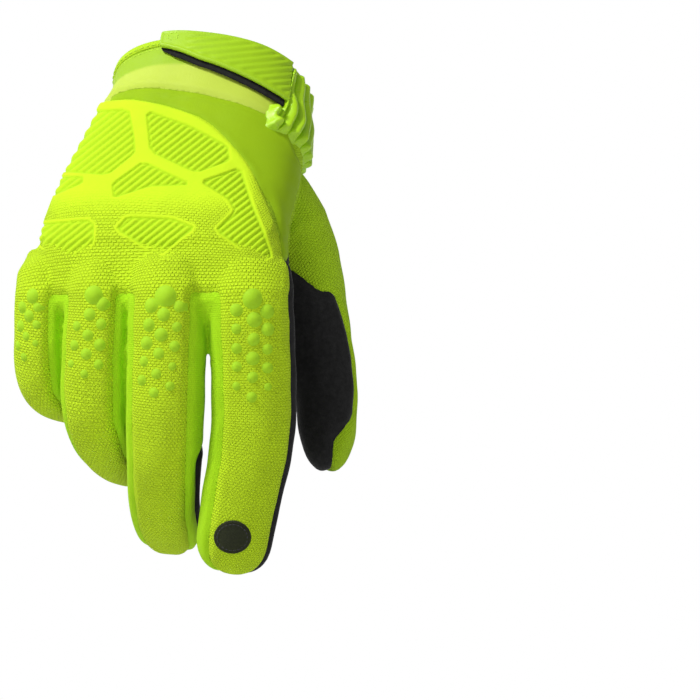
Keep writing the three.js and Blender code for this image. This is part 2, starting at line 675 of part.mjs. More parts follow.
// Cuff with the ribs of its palm side and the binding of its edge
const cuffRibs = Array.from({ length: CUFF_RIBS.count }, (_, i) => {
  const angle = CUFF_RIBS.from + ((CUFF_RIBS.to - CUFF_RIBS.from) * i) / CUFF_RIBS.count;
  const from = { angle, place: CUFF_RIBS.high };
  return bar(from, { angle: angle + RIB_SLOPE, place: CUFF_RIBS.low }, 0);
});
pieces.push(["cuff", whole(union([cuffBody, ...cuffRibs]))]);
const bindingOuter = sleeve(() => BINDING.start, () => BINDING.end, BINDING.outside);
const past = 1; // how far the inner cutter passes the band's edges
const bindingInner = sleeve(() => BINDING.start - past, () => BINDING.end + past, -WALL - BINDING.inside);
pieces.push(["cuff_binding", bindingOuter.subtract(bindingInner)]);

// Strap on its hook layer, and the gathered side it comes out of
const hookLift = BINDING.outside + GAP;
const strapLift = hookLift + HOOK_THICKNESS + GAP;
const hookRows = STRAP_SECTIONS.slice(0, -1).map((row) => {
  return { ...row, low: row.low + HOOK_INSET, high: row.high + HOOK_SHOWS };
});
pieces.push(["strap_hook", band(hookRows, hookLift, HOOK_THICKNESS)]);
const strapRibs = Array.from({ length: STRAP_RIBS }, (_, i) => {
  const angle = STRAP_RIB_START + i * STRAP_RIB_PITCH;
  const from = { angle, place: STRAP_RIB_PLACE + i };
  return bar(from, { angle: angle + RIB_SLOPE, place: STRAP_RIB_PLACE - 4 }, strapLift + STRAP_THICKNESS);
});
const hookRoom = band(hookRows, 0, strapLift);
const strapBand = band(STRAP_SECTIONS, strapLift, STRAP_THICKNESS);
pieces.push(["strap", union([strapBand, ...strapRibs]).subtract(hookRoom)]);
const gatherRows = Array.from({ length: GATHER_STEPS + 1 }, (_, i) => {
  const share = i / GATHER_STEPS;
  const swell = GATHER.swell * Math.sin(Math.PI * GATHER_FOLDS * share) ** 2;
  const angle = GATHER.from + (GATHER.to - GATHER.from) * share;
  return { angle, low: GATHER.low, high: GATHER.high, swell };
});
const lumpRows = GATHER_LUMP.angles.map((angle) => ({ ...GATHER_LUMP, angle, high: GATHER.high }));
const clear = skin(GAP);
const gather = band([...lumpRows, ...gatherRows], GATHER.lift, GATHER.thick);
pieces.push(["gathered_side", whole(gather.subtract(clear))]);

// Back pad with its sunk, ribbed cells, the touch patch and the two palm pads
const padLayer = skin(GAP + PAD_THICKNESS).intersect(backHalf).subtract(clear);
const backPrism = (outline) => viewPrism(outline, VIEW_REACH.near, VIEW_REACH.far);
function cellRibs(cell) {
  const xs = cell.map(([x]) => x);
  const zs = cell.map(([, z]) => z);
  const middle = [(Math.min(...xs) + Math.max(...xs)) / 2, (Math.min(...zs) + Math.max(...zs)) / 2];
  const [c, d] = [Math.cos(rad(CELL_RIB_RISE)), Math.sin(rad(CELL_RIB_RISE))];
  const reach = Math.max(...xs) - Math.min(...xs);
  const steps = Math.ceil(reach / CELL_RIB_PITCH / 1.4);
  return Array.from({ length: 2 * steps + 1 }, (_, i) => {
    const off = (i - steps) * CELL_RIB_PITCH;
    const corner = (along, across) => [
      middle[0] + c * along - d * (off + across),
      middle[1] + d * along + c * (off + across),
    ];
    const half = CELL_RIB_WIDTH / 2;
    const ends = [[-reach, -half], [reach, -half], [reach, half], [-reach, half]];
    return backPrism(ends.map(([along, across]) => corner(along, across)));
  });
}
const floor = skin(GAP + PAD_THICKNESS - CELL_DEPTH);
const cells = PAD_CELLS.map(backPrism);
const ribs = PAD_CELLS.map((cell, i) => union(cellRibs(cell)).intersect(cells[i]));
const ribLayer = skin(GAP + PAD_THICKNESS - RIB_DROP).intersect(backHalf).subtract(clear);
const outlined = backPrism(PAD_OUTLINE);
const sunk = padLayer.intersect(outlined).subtract(union(cells).subtract(floor));
const pad = sunk.add(ribLayer.intersect(union(ribs)).intersect(outlined));
pieces.push(["back_pad", whole(pad)]);

const patchOutline = Array.from({ length: PATCH.sides }, (_, i) => {
  const turn = (2 * Math.PI * i) / PATCH.sides;
  return [PATCH.x + (Math.cos(turn) * PATCH.wide) / 2, PATCH.z + (Math.sin(turn) * PATCH.high) / 2];
});
const patchLayer = skin(GAP + PATCH.thick).subtract(clear);
const patchPrism = viewPrism(patchOutline, VIEW_REACH.near, PATCH.back);
pieces.push(["touch_patch", whole(patchLayer.intersect(patchPrism))]);
const palmLayer = skin(GAP + PALM_PAD_THICKNESS).subtract(clear);
pieces.push(["upper_palm_pad", whole(palmLayer.intersect(palmPrism(UPPER_PALM_PAD)))]);
pieces.push(["lower_palm_pad", whole(palmLayer.intersect(palmPrism(LOWER_PALM_PAD)))]);

// One colour per material of the pieces
const COLOURS = [
  { colour: 0x1c1c1c, names: /^(palm_panel|.*_front)$/ },
  { colour: 0x181818, names: /^(upper|lower)_palm_pad$/ },
  { colour: 0x202022, names: /^touch_patch$/ },
  { colour: 0x141414, names: /^strap_hook$/ },
  { colour: 0xa6cf12, names: /^fourchette_/ },
  { colour: 0x9cc41a, names: /^wrist_panel$/ },
  { colour: 0xc8e14a, names: /^cuff$/ },
  { colour: 0xa8d41c, names: /^cuff_binding$/ },
  { colour: 0xb4de1c, names: /^(strap|gathered_side)$/ },
  { colour: 0xcdf028, names: /^back_pad$/ },
  { colour: 0xc4ec20, names: /^(back_panel|thumb_panel)$/ },
];
for (const [name, solid] of pieces) {
  const { colour } = COLOURS.find(({ names }) => names.test(name));
  glove.add(meshOf(name, solid, new THREE.MeshStandardMaterial({ color: colour })));
}
export default glove;
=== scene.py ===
import bpy
import numpy as np
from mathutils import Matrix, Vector
from mathutils.bvhtree import BVHTree


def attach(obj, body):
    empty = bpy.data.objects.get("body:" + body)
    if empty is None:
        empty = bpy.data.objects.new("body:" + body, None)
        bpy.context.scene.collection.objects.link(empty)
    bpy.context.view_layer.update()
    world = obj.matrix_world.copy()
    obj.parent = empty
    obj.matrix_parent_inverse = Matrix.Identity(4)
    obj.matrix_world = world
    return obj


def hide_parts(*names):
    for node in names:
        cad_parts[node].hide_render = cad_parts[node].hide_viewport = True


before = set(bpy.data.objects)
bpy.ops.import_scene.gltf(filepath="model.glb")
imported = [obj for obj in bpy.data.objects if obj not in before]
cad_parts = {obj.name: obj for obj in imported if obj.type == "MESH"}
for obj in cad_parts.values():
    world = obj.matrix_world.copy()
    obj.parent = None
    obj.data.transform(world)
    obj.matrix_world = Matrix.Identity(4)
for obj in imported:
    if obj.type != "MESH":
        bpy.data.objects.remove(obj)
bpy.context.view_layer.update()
MM = 0.001
VOXEL = 0.88  # side of the cells that the skin is built from
PICTURE = 700  # width and height of the photograph in pixels
EYE = np.array([54.5, -1000.0, -102.0])  # the camera, level and looking along +Y
FOCAL = 2570.0  # in pixels of the photograph
OUTLINE_PLANE = -40.0  # y of the plane that the back pad is drawn on

# Shape of the glove, the same as in the solid model
HAND_LENGTH = 115
HAND_WIDTH = 97
HAND_DEPTH = 40
HAND_COLUMNS = ("step", "pitch", "lean", "turn", "tip", "wide", "back", "palm", "square")
HAND_SECTIONS = (
    (0, 42, -3, 2, 9, 0.76, 0.6, 0.56, 2.2),
    (0.1, 41, -4, 3, 9, 0.77, 0.58, 0.55, 2.2),
    (0.1, 39, -7, 5, 7, 0.82, 0.55, 0.54, 2.25),
    (0.18, 36, -12, 9, 5, 0.89, 0.5, 0.5, 2.35),
    (0.2, 32, -15, 13, 3, 0.95, 0.46, 0.46, 2.5),
    (0.17, 25, -9, 16, 1, 1.0, 0.43, 0.42, 2.7),
    (0.14, 16, -4, 18, 0, 1.0, 0.34, 0.38, 2.7),
    (0.11, 4, -3, 18, 0, 0.98, 0.1, 0.3, 2.6),
)
FINGER_COLUMNS = ("width", "depth", "across", "roll", "lengths", "curl", "lean")
FINGERS = [dict(zip(FINGER_COLUMNS, row)) for row in (
    (31, 23, 3, -4, (50, 30, 25), (4, 9, 14), (1, -10, -9)),
    (28.8, 22.5, 22, 13, (50, 33, 28), (5, 30, 54), (-2, -2, 4)),
    (26.5, 21.5, 27, 20, (46, 31, 27), (9, 54, 90), (-2, 16, 26)),
    (23, 19.5, 0, 36, (34, 23, 23), (14, 68, 98), (0, 26, 34)),
)]
INDEX, MIDDLE = 0, 1  # rows of the fingers, from the thumb's side
KNUCKLE_PLACE = 99.0  # of the index finger, along the hand
KNUCKLE_ACROSS = 0.76  # share of the hand's half width there
KNUCKLE_LIFT = 0.12  # share of the hand's depth to its back
FINGER_GAP = 0.1
ROOT_LENGTH = 18
ROOT_PITCH = 18
FINGER_SQUARENESS = 2.15
FINGER_PROFILE = (  # place along the bones, width, depth
    (0, 0.7, 0.4), (0.55, 0.95, 0.9), (1, 1, 1.05), (1.45, 1, 1), (1.9, 1, 0.98),
    (2.35, 0.97, 0.95), (2.9, 0.93, 0.9), (3.4, 0.91, 0.84), (4, 0.91, 0.84),
)
THUMB_ROLL = 217
THUMB_WIDTH = 27
THUMB_DEPTH = 24
THUMB_JOINTS = ((16, -18, -34), (27, -12, -56), (38.5, -12, -86), (44.8, -16, -116), (46.3, -22, -148))
THUMB_PROFILE = (
    (0, 1.05, 1.2), (0.5, 1.35, 1.45), (1, 1.5, 1.5), (1.5, 1.4, 1.35), (2, 1.15, 1.15),
    (2.5, 1, 1), (3, 0.92, 0.95), (3.35, 0.85, 0.88), (4, 0.78, 0.82),
)
CAP_START = 3.3  # where the fingertip starts to round off
CAP_EXPONENT = 2.5
TUBE_RINGS = 90
TUBE_SIDES = 72
THINNEST = 0.05
SKIN_START = -8  # the hand's skin starts outside the opening, and the panels are cut back to it
SMOOTHING = (0.5, -0.52) * 9  # shares of the way to the neighbours' mean, one pass each
CHUNK = 4000  # points that are located at a time


def unit(v):
    return v / np.maximum(np.linalg.norm(v, axis=-1, keepdims=True), 1e-12)


def smooth_step(x):
    x = np.clip(x, 0, 1)
    return x * x * (3 - 2 * x)


def signed_power(x, exponent):
    return np.sign(x) * np.abs(x) ** exponent


def ridge(x, middle, width):
    """1 at the middle and falling off to both sides."""
    return np.exp(-((x - middle) / width) ** 2)


def ribs(phase, exponent):
    """From 0 to 1 and back over each whole number of the phase."""
    return (0.5 + 0.5 * np.cos(2 * np.pi * phase)) ** exponent


def heading(pitch, lean):
    pitch, lean = np.radians(pitch), np.radians(lean)
    return np.array([np.sin(lean), -np.sin(pitch) * np.cos(lean), -np.cos(pitch) * np.cos(lean)])


def spline(values, at):
    values = np.asarray(values, float)
    i = np.clip(np.floor(at).astype(int), 0, len(values) - 2)
    f = at - i
    p = [values[np.clip(i + k, 0, len(values) - 1)] for k in (-1, 0, 1, 2)]
    return p[1] + 0.5 * f * (
        p[2] - p[0] + f * (2 * p[0] - 5 * p[1] + 4 * p[2] - p[3] + f * (3 * (p[1] - p[2]) + p[3] - p[0]))
    )


def curve(points, t):
    """Centripetal Catmull-Rom curve through points at t from 0 to 1."""
    points = np.asarray(points, float)
    reach = np.vstack([2 * points[0] - points[1], points, 2 * points[-1] - points[-2]])
    place = t * (len(points) - 1)
    i = np.clip(np.floor(place).astype(int), 0, len(points) - 2)
    w = (place - i)[:, None]
    p = [reach[i + k] for k in range(4)]
    d = [np.sqrt(np.linalg.norm(p[k + 1] - p[k], axis=1))[:, None] for k in range(3)]
    m1 = ((p[1] - p[0]) / d[0] - (p[2] - p[0]) / (d[0] + d[1]) + (p[2] - p[1]) / d[1]) * d[1]
    m2 = ((p[2] - p[1]) / d[1] - (p[3] - p[1]) / (d[1] + d[2]) + (p[3] - p[2]) / d[2]) * d[1]
    squared = (-3 * p[1] + 3 * p[2] - 2 * m1 - m2) * w**2
    return p[1] + m1 * w + squared + (2 * p[1] - 2 * p[2] + m1 + m2) * w**3


class Tube:
    """Frames along a hand, finger or thumb, with its size at each."""

    def __init__(self, points, t, side, half, back, palm, square):
        step = 1e-3
        self.centre = curve(points, t)
        self.along = unit(curve(points, np.minimum(t + step, 1)) - curve(points, np.maximum(t - step, 0)))
        side = np.broadcast_to(side, self.along.shape)
        self.side = unit(side - (side * self.along).sum(1)[:, None] * self.along)
        self.out = unit(np.cross(self.along, self.side))
        self.half, self.back, self.palm, self.square = half, back, palm, square
        gaps = np.linalg.norm(np.diff(self.centre, axis=0), axis=1)
        self.place = np.concatenate([[0], np.cumsum(gaps)])

    def at(self, place):
        """Centre, side, out, along, half width, back and palm depth and square at places along the tube."""
        mix = lambda a: np.stack([np.interp(place, self.place, a[:, k]) for k in range(3)], axis=-1)
        one = lambda a: np.interp(place, self.place, np.broadcast_to(a, self.place.shape))
        before = np.minimum(place, 0)[..., None]
        centre = mix(self.centre) + before * self.along[0]
        return (centre, unit(mix(self.side)), unit(mix(self.out)), unit(mix(self.along)),
                one(self.half), one(self.back), one(self.palm), one(self.square))

    def point(self, angle, place, grow=0.0):
        """On the tube's surface, or off it by grow, at an angle from its back and a place along it."""
        centre, side, out, _, half, back, palm, square = self.at(place)
        s, c = np.sin(np.radians(angle)), np.cos(np.radians(angle))
        depth = np.where(c > 0, back, palm)
        return (centre + side * (np.maximum(half + grow, THINNEST) * signed_power(s, 2 / square))[..., None]
                + out * (np.maximum(depth + grow, THINNEST) * signed_power(c, 2 / square))[..., None])

    def locate(self, points):
        """Place along the tube, angle from its back and relative radius of points."""
        place = np.empty(len(points))
        for start in range(0, len(points), CHUNK):
            chunk = points[start:start + CHUNK]
            d = ((chunk[:, None, :] - self.centre[None]) ** 2).sum(-1)
            k = d.argmin(1)
            ahead = ((chunk - self.centre[k]) * self.along[k]).sum(1)
            place[start:start + CHUNK] = self.place[k] + ahead
        centre, side, out, _, half, back, palm, square = self.at(place)
        d = points - centre
        s = (d * side).sum(1) / half
        c = (d * out).sum(1)
        c = c / np.where(c > 0, back, palm)
        radius = (np.abs(s) ** square + np.abs(c) ** square) ** (1 / square)
        angle = np.arctan2(signed_power(s, square / 2), signed_power(c, square / 2))
        return place, np.degrees(angle), radius


def hand_tube():
    rows = dict(zip(HAND_COLUMNS, np.array(HAND_SECTIONS, float).T))
    ways = np.array([heading(pitch, lean) for pitch, lean in zip(rows["pitch"], rows["lean"])])
    steps = ways * rows["step"][:, None] * HAND_LENGTH
    points = np.cumsum(steps, axis=0)
    t = np.linspace(0, 1, TUBE_RINGS)
    at = t * (len(points) - 1)
    turn, tip = np.radians(spline(rows["turn"], at)), np.radians(spline(rows["tip"], at))
    side = np.stack([np.cos(turn), -np.sin(turn), -np.sin(tip)], axis=1)
    wide, back, palm, square = (spline(rows[key], at) for key in ("wide", "back", "palm", "square"))
    return Tube(points, t, side, wide * HAND_WIDTH / 2, back * HAND_DEPTH, palm * HAND_DEPTH, square)


def finger_tube(joints, profile, roll, width, depth):
    count = len(joints) - 1
    body = np.linspace(0, CAP_START / count, TUBE_RINGS)
    cap = CAP_START / count + (1 - CAP_START / count) * np.sin(np.linspace(0, np.pi / 2, TUBE_RINGS // 3))[1:]
    t = np.concatenate([body, cap])
    at = t * count
    profile = np.array(profile)
    x = np.clip((at - CAP_START) / (count - CAP_START), 0, 1)
    rounding = np.maximum(1 - x**CAP_EXPONENT, 1e-4) ** (1 / CAP_EXPONENT)
    wide = np.interp(at, profile[:, 0], profile[:, 1]) * rounding
    deep = np.interp(at, profile[:, 0], profile[:, 2]) * rounding
    side = np.array([np.cos(np.radians(roll)), -np.sin(np.radians(roll)), 0])
    half = depth * deep / 2
    return Tube(joints, t, side, width * wide / 2, half, half, np.full(len(t), FINGER_SQUARENESS))


HAND = hand_tube()


def knuckles():
    centre, side, out, _, half, back, _, _ = (v[0] for v in HAND.at(np.array([KNUCKLE_PLACE])))
    places = [centre + side * KNUCKLE_ACROSS * half + out * KNUCKLE_LIFT * back]
    for a, b in zip(FINGERS, FINGERS[1:]):
        step = (a["width"] + b["width"]) / 2 + FINGER_GAP
        turn = np.radians(a["across"])
        places.append(places[-1] + np.array([-np.cos(turn), np.sin(turn), 0]) * step)
    return places


def finger(spec, knuckle):
    joints = [knuckle - ROOT_LENGTH * heading(ROOT_PITCH, 0), knuckle]
    for length, curl, lean in zip(spec["lengths"], spec["curl"], spec["lean"]):
        joints.append(joints[-1] + heading(-curl, lean) * length)
    return finger_tube(np.array(joints), FINGER_PROFILE, spec["roll"], spec["width"], spec["depth"])


FINGER_TUBES = [finger(spec, knuckle) for spec, knuckle in zip(FINGERS, knuckles())]
THUMB = finger_tube(np.array(THUMB_JOINTS, float), THUMB_PROFILE, THUMB_ROLL, THUMB_WIDTH, THUMB_DEPTH)
TUBES = [HAND, *FINGER_TUBES, THUMB]


# Meshes
def grid_faces(rows, columns, closed=False):
    r = np.arange(rows - 1)[:, None]
    c = np.arange(columns if closed else columns - 1)[None]
    d = (c + 1) % columns
    corners = [r * columns + c, r * columns + d, (r + 1) * columns + d, (r + 1) * columns + c]
    return np.stack(corners, axis=-1).reshape(-1, 4)


def capped_faces(rows, columns):
    """Faces of a tube of rings, with one face over each end."""
    last = (rows - 1) * columns
    sides = [list(f) for f in grid_faces(rows, columns, closed=True)]
    return [*sides, list(range(columns))[::-1], list(range(last, last + columns))]


def add_object(name, data):
    obj = bpy.data.objects.new(name, data)
    bpy.context.scene.collection.objects.link(obj)
    return obj


def new_mesh(name, points, faces):
    mesh = bpy.data.meshes.new(name)
    mesh.from_pydata((np.asarray(points) * MM).tolist(), [], [list(map(int, f)) for f in faces])
    mesh.update()
    return mesh


def tube_mesh(tube, low):
    angle = np.arange(TUBE_SIDES) * 360 / TUBE_SIDES
    place = np.concatenate([[low], tube.place[1:]]) if low < 0 else tube.place
    turn, where = np.broadcast_arrays(angle, place[:, None])
    return tube.point(turn, where).reshape(-1, 3), capped_faces(len(place), TUBE_SIDES)


def sides_of(triangles):
    return [triangles[:, [k, (k + 1) % 3]] for k in range(3)]


def edges_of(triangles):
    return np.unique(np.sort(np.concatenate(sides_of(triangles)), axis=1), axis=0)


def averaged(values, edges, count):
    """Mean of the neighbours of each vertex."""
    total = np.zeros((count,) + values.shape[1:])
    number = np.zeros(count)
    for a, b in ((0, 1), (1, 0)):
        np.add.at(total, edges[:, a], values[edges[:, b]])
        np.add.at(number, edges[:, a], 1)
    number = np.maximum(number, 1)
    return total / (number[:, None] if values.ndim > 1 else number)


def normals_of(points, triangles):
    a, b, c = (points[triangles[:, k]] for k in range(3))
    face = np.cross(b - a, c - a)
    normal = np.zeros_like(points)
    for k in range(3):
        np.add.at(normal, triangles[:, k], face)
    return unit(normal)


def outer_skin():
    """The glove's outer surface as one closed, smooth triangle mesh."""
    points, faces = [], []
    for tube in TUBES:
        p, f = tube_mesh(tube, SKIN_START if tube is HAND else 0)
        start = sum(len(q) for q in points)
        points.append(p)
        faces += [[start + k for k in face] for face in f]
    source = add_object("skin_source", new_mesh("skin_source", np.concatenate(points), faces))
    remesh = source.modifiers.new("voxel", "REMESH")
    remesh.mode = "VOXEL"
    remesh.voxel_size = VOXEL * MM
    remesh.adaptivity = 0
    done = source.evaluated_get(bpy.context.evaluated_depsgraph_get()).to_mesh()
    done.calc_loop_triangles()
    points = np.empty(len(done.vertices) * 3)
    done.vertices.foreach_get("co", points)
    triangles = np.empty(len(done.loop_triangles) * 3, int)
    done.loop_triangles.foreach_get("vertices", triangles)
    points, triangles = points.reshape(-1, 3) / MM, triangles.reshape(-1, 3)
    bpy.data.objects.remove(source)
    edges = edges_of(triangles)
    for factor in SMOOTHING:
        points = points + factor * (averaged(points, edges, len(points)) - points)
    volume = (points[triangles[:, 0]] * np.cross(points[triangles[:, 1]], points[triangles[:, 2]])).sum()
    if volume < 0:
        triangles = triangles[:, ::-1].copy()
    return points, triangles, edges


SKIN, SKIN_TRIANGLES, SKIN_EDGES = outer_skin()
SKIN_NORMALS = normals_of(SKIN, SKIN_TRIANGLES)
SKIN_TREE = BVHTree.FromPolygons(SKIN.tolist(), SKIN_TRIANGLES.tolist())


def on_skin(origins, directions):
    """Where rays meet the skin, with its smooth normal there. Misses are rows of NaN."""
    found = np.full((len(origins), 3), np.nan)
    index = np.zeros(len(origins), int)
    for k, (origin, direction) in enumerate(zip(origins.tolist(), directions.tolist())):
        place, _, face, _ = SKIN_TREE.ray_cast(origin, direction)
        if place is not None:
            found[k] = place
            index[k] = face
    corners = SKIN[SKIN_TRIANGLES[index]]
    a, b = corners[:, 1] - corners[:, 0], corners[:, 2] - corners[:, 0]
    p = found - corners[:, 0]
    aa, ab, bb, pa, pb = (a * a).sum(1), (a * b).sum(1), (b * b).sum(1), (p * a).sum(1), (p * b).sum(1)
    base = np.maximum(aa * bb - ab * ab, 1e-12)
    u, v = (bb * pa - ab * pb) / base, (aa * pb - ab * pa) / base
    n = SKIN_NORMALS[SKIN_TRIANGLES[index]]
    return found, unit(n[:, 0] * (1 - u - v)[:, None] + n[:, 1] * u[:, None] + n[:, 2] * v[:, None])


def pixel_ray(x, y):
    """From the camera through pixels of the photograph's frame."""
    across, down = ((np.asarray(v, float) - PICTURE / 2) / FOCAL * -EYE[1] for v in (x, y))
    target = np.stack([EYE[0] + across, np.zeros(len(x)), EYE[2] - down], axis=1)
    return np.broadcast_to(EYE, target.shape), unit(target - EYE)


def seen_at(points):
    """x and z on the outline plane, along the camera's line of sight."""
    share = (OUTLINE_PLANE - EYE[1]) / (points[..., 1] - EYE[1])
    return np.stack([EYE[k] + (points[..., k] - EYE[k]) * share for k in (0, 2)], axis=-1)


def rounded(outline, times=2, cut=0.25):
    """A closed outline with its corners cut off, again and again."""
    outline = np.asarray(outline, float)
    for _ in range(times):
        after = np.roll(outline, -1, axis=0)
        step = cut * (after - outline)
        outline = np.stack([outline + step, after - step], axis=1).reshape(-1, 2)
    return outline


def depth_inside(points, outline):
    """Distance of 2-D points from an outline, positive inside."""
    a, b = outline, np.roll(outline, -1, axis=0)
    best = np.full(len(points), np.inf)
    inside = np.zeros(len(points), bool)
    for p, q in zip(a, b):
        d = q - p
        t = np.clip(((points - p) @ d) / max(d @ d, 1e-9), 0, 1)
        best = np.minimum(best, np.linalg.norm(points - p - t[:, None] * d, axis=1))
        crosses = (p[1] > points[:, 1]) != (q[1] > points[:, 1])
        if p[1] != q[1]:
            inside ^= crosses & (points[:, 0] < (q[0] - p[0]) * (points[:, 1] - p[1]) / (q[1] - p[1]) + p[0])
    return np.where(inside, best, -best)


SLIVER = 0.02  # the field is kept this far from 0, so that no cut runs into a corner


def clip(triangles, field, arrays):
    """The part of a mesh where field is above 0, cut along its edges. arrays hold one row for each vertex."""
    field = np.where(np.abs(field) < SLIVER, SLIVER * np.where(field < 0, -1, 1), field)
    keep = field > 0
    inside = keep[triangles].sum(1)
    whole = triangles[inside == 3]
    made, pieces, cuts = {}, [], []

    def cut(i, j):
        key = (i, j) if i < j else (j, i)
        if key not in made:
            made[key] = len(field) + len(cuts)
            t = field[key[0]] / (field[key[0]] - field[key[1]])
            cuts.append((key[0], key[1], t))
        return made[key]

    for tri in triangles[(inside == 1) | (inside == 2)].tolist():
        kept = [bool(keep[k]) for k in tri]
        odd = kept.index(sum(kept) == 1)
        a, b, c = tri[odd:] + tri[:odd]
        if keep[a]:
            pieces.append((a, cut(a, b), cut(a, c)))
        else:
            ab, ac = cut(a, b), cut(a, c)
            pieces += [(ab, b, c), (ab, c, ac)]
    if cuts:
        ends = np.array([(i, j) for i, j, _ in cuts])
        t = np.array([t for _, _, t in cuts])
        arrays = [np.concatenate([v, v[ends[:, 0]] * (1 - t if v.ndim == 1 else (1 - t)[:, None])
                                  + v[ends[:, 1]] * (t if v.ndim == 1 else t[:, None])]) for v in arrays]
        field = np.concatenate([field, np.zeros(len(cuts))])
        whole = np.concatenate([whole, np.array(pieces).reshape(-1, 3)])
    used, back = np.unique(whole, return_inverse=True)
    return back.reshape(-1, 3), field[used], [v[used] for v in arrays]


# Materials
CLOTH_UNIT = 10  # millimetres of cloth to one unit of its coordinates
COLOUR_A, COLOUR_B, COLOUR_MIX = 6, 7, 2  # sockets of a mix of colours


class Shader:
    """A material with short calls for what the fabrics need."""

    def __init__(self, name, roughness, specular=0.3, sheen=0.0, sheen_tint=(1, 1, 1, 1),
                 sheen_roughness=0.5):
        self.material = bpy.data.materials.new(name)
        self.material.use_nodes = True
        self.tree = self.material.node_tree
        self.main = self.tree.nodes["Principled BSDF"]
        self.fill(self.main, {
            "Roughness": roughness, "Specular IOR Level": specular, "Sheen Weight": sheen,
            "Sheen Tint": sheen_tint, "Sheen Roughness": sheen_roughness,
        })
        coordinates = self.add("ShaderNodeTexCoord")
        self.place = coordinates.outputs["Object"]
        self.cloth = coordinates.outputs["UV"]

    def add(self, kind, **settings):
        node = self.tree.nodes.new(kind)
        for key, value in settings.items():
            setattr(node, key, value)
        return node

    def fill(self, node, values):
        for key, value in values.items():
            node.inputs[key].default_value = value

    def link(self, a, b):
        self.tree.links.new(a, b)

    def noise(self, scale, detail=3.0, roughness=0.5):
        node = self.add("ShaderNodeTexNoise")
        self.link(self.place, node.inputs["Vector"])
        self.fill(node, {"Scale": scale, "Detail": detail, "Roughness": roughness})
        return node.outputs["Fac"]

    def cells(self, scale):
        node = self.add("ShaderNodeTexVoronoi")
        self.link(self.place, node.inputs["Vector"])
        self.fill(node, {"Scale": scale, "Randomness": 1.0})
        return node.outputs["Distance"]

    def bricks(self, width, height, gap, turn=0.0):
        """Pillowed bricks, 1 in the gaps. Sizes in millimetres of cloth."""
        mapping = self.add("ShaderNodeMapping")
        mapping.inputs["Rotation"].default_value[2] = np.radians(turn)
        self.link(self.cloth, mapping.inputs["Vector"])
        node = self.add("ShaderNodeTexBrick", offset=0.5)
        self.link(mapping.outputs["Vector"], node.inputs["Vector"])
        self.fill(node, {
            "Scale": 1.0, "Mortar Size": gap / CLOTH_UNIT, "Mortar Smooth": 1.0,
            "Brick Width": width / CLOTH_UNIT, "Row Height": height / CLOTH_UNIT,
        })
        return node.outputs["Fac"]

    def math(self, operation, a, b):
        node = self.add("ShaderNodeMath", operation=operation)
        for socket, value in zip(node.inputs, (a, b)):
            if isinstance(value, (int, float)):
                socket.default_value = value
            else:
                self.link(value, socket)
        return node.outputs[0]

    def ramp(self, value, low, high, start=0.0, end=1.0):
        node = self.add("ShaderNodeMapRange")
        self.link(value, node.inputs["Value"])
        self.fill(node, {"From Min": low, "From Max": high, "To Min": start, "To Max": end})
        return node.outputs["Result"]

    def attribute(self, name):
        return self.add("ShaderNodeAttribute", attribute_name=name).outputs["Fac"]

    def blend(self, share, a, b):
        """Mix of two colours, each a tuple or a socket."""
        node = self.add("ShaderNodeMix", data_type="RGBA")
        self.link(share, node.inputs[0])
        for socket, colour in zip((node.inputs[COLOUR_A], node.inputs[COLOUR_B]), (a, b)):
            if isinstance(colour, tuple):
                socket.default_value = (*colour, 1)
            else:
                self.link(colour, socket)
        return node.outputs[COLOUR_MIX]

    def colour(self, socket):
        self.link(socket, self.main.inputs["Base Color"])

    def roughness(self, socket):
        self.link(socket, self.main.inputs["Roughness"])

    def bump(self, *layers):
        """Height layers, each (socket, millimetres)."""
        normal = None
        for height, distance in layers:
            node = self.add("ShaderNodeBump")
            self.fill(node, {"Distance": distance * MM, "Strength": 1.0})
            self.link(height, node.inputs["Height"])
            if normal is not None:
                self.link(normal, node.inputs["Normal"])
            normal = node.outputs["Normal"]
        self.link(normal, self.main.inputs["Normal"])


HI_VIS = (0.6, 0.87, 0.011)
HI_VIS_LIGHT = (0.68, 0.9, 0.07)
# deep green of the knit's gaps, also the painted shade on the floors of the back pad's cells
HI_VIS_DEEP = (0.34, 0.6, 0.004)
BLACK = (0.0145, 0.0145, 0.0145)
BLACK_WORN = (0.034, 0.034, 0.034)


def knit_material(name, colour, gap_and_shade_colour, width, height, gap, relief, turn=0.0, masked=False, shade=0.3):
    """Rows of small loops of a width and height, with dark gaps between them."""
    shader = Shader(name, 0.82, 0.22, sheen=0.25, sheen_tint=(*HI_VIS_LIGHT, 1), sheen_roughness=0.6)
    gaps = shader.bricks(width, height, gap, turn)
    fibre = shader.noise(3200, 2)
    if masked:
        gaps = shader.math("MULTIPLY", gaps, shader.attribute("knit"))
    patches = shader.ramp(shader.noise(60, 4), 0.3, 0.7)
    cloth = shader.blend(patches, colour, tuple(0.9 * c for c in colour))
    # painted shade: on the back pad the raised attribute, below 1 in the sunk cells, blends the colour
    # towards the deep gap colour
    if masked:
        cloth = shader.blend(shader.attribute("raised"), gap_and_shade_colour, cloth)
    shader.colour(shader.blend(shader.math("MULTIPLY", gaps, shade), cloth, gap_and_shade_colour))
    shader.bump((shader.math("SUBTRACT", 1.0, gaps), relief), (fibre, 0.05), (shader.noise(700, 3), 0.12))
    return shader.material


def suede_material(name, colour, worn, grain):
    shader = Shader(name, 0.93, 0.12, sheen=0.35, sheen_tint=(0.5, 0.5, 0.5, 1), sheen_roughness=0.35)
    nap = shader.noise(420, 6, 0.65)
    fibre = shader.noise(2600, 3, 0.7)
    pores = shader.cells(1500)
    shade = shader.math("MULTIPLY", shader.ramp(nap, 0.35, 0.7), shader.ramp(fibre, 0.3, 0.75, 0.35, 1.0))
    shader.colour(shader.blend(shade, colour, worn))
    shader.roughness(shader.ramp(nap, 0.3, 0.7, 0.86, 0.98))
    shader.bump((nap, grain), (fibre, 0.09), (pores, 0.06))
    return shader.material


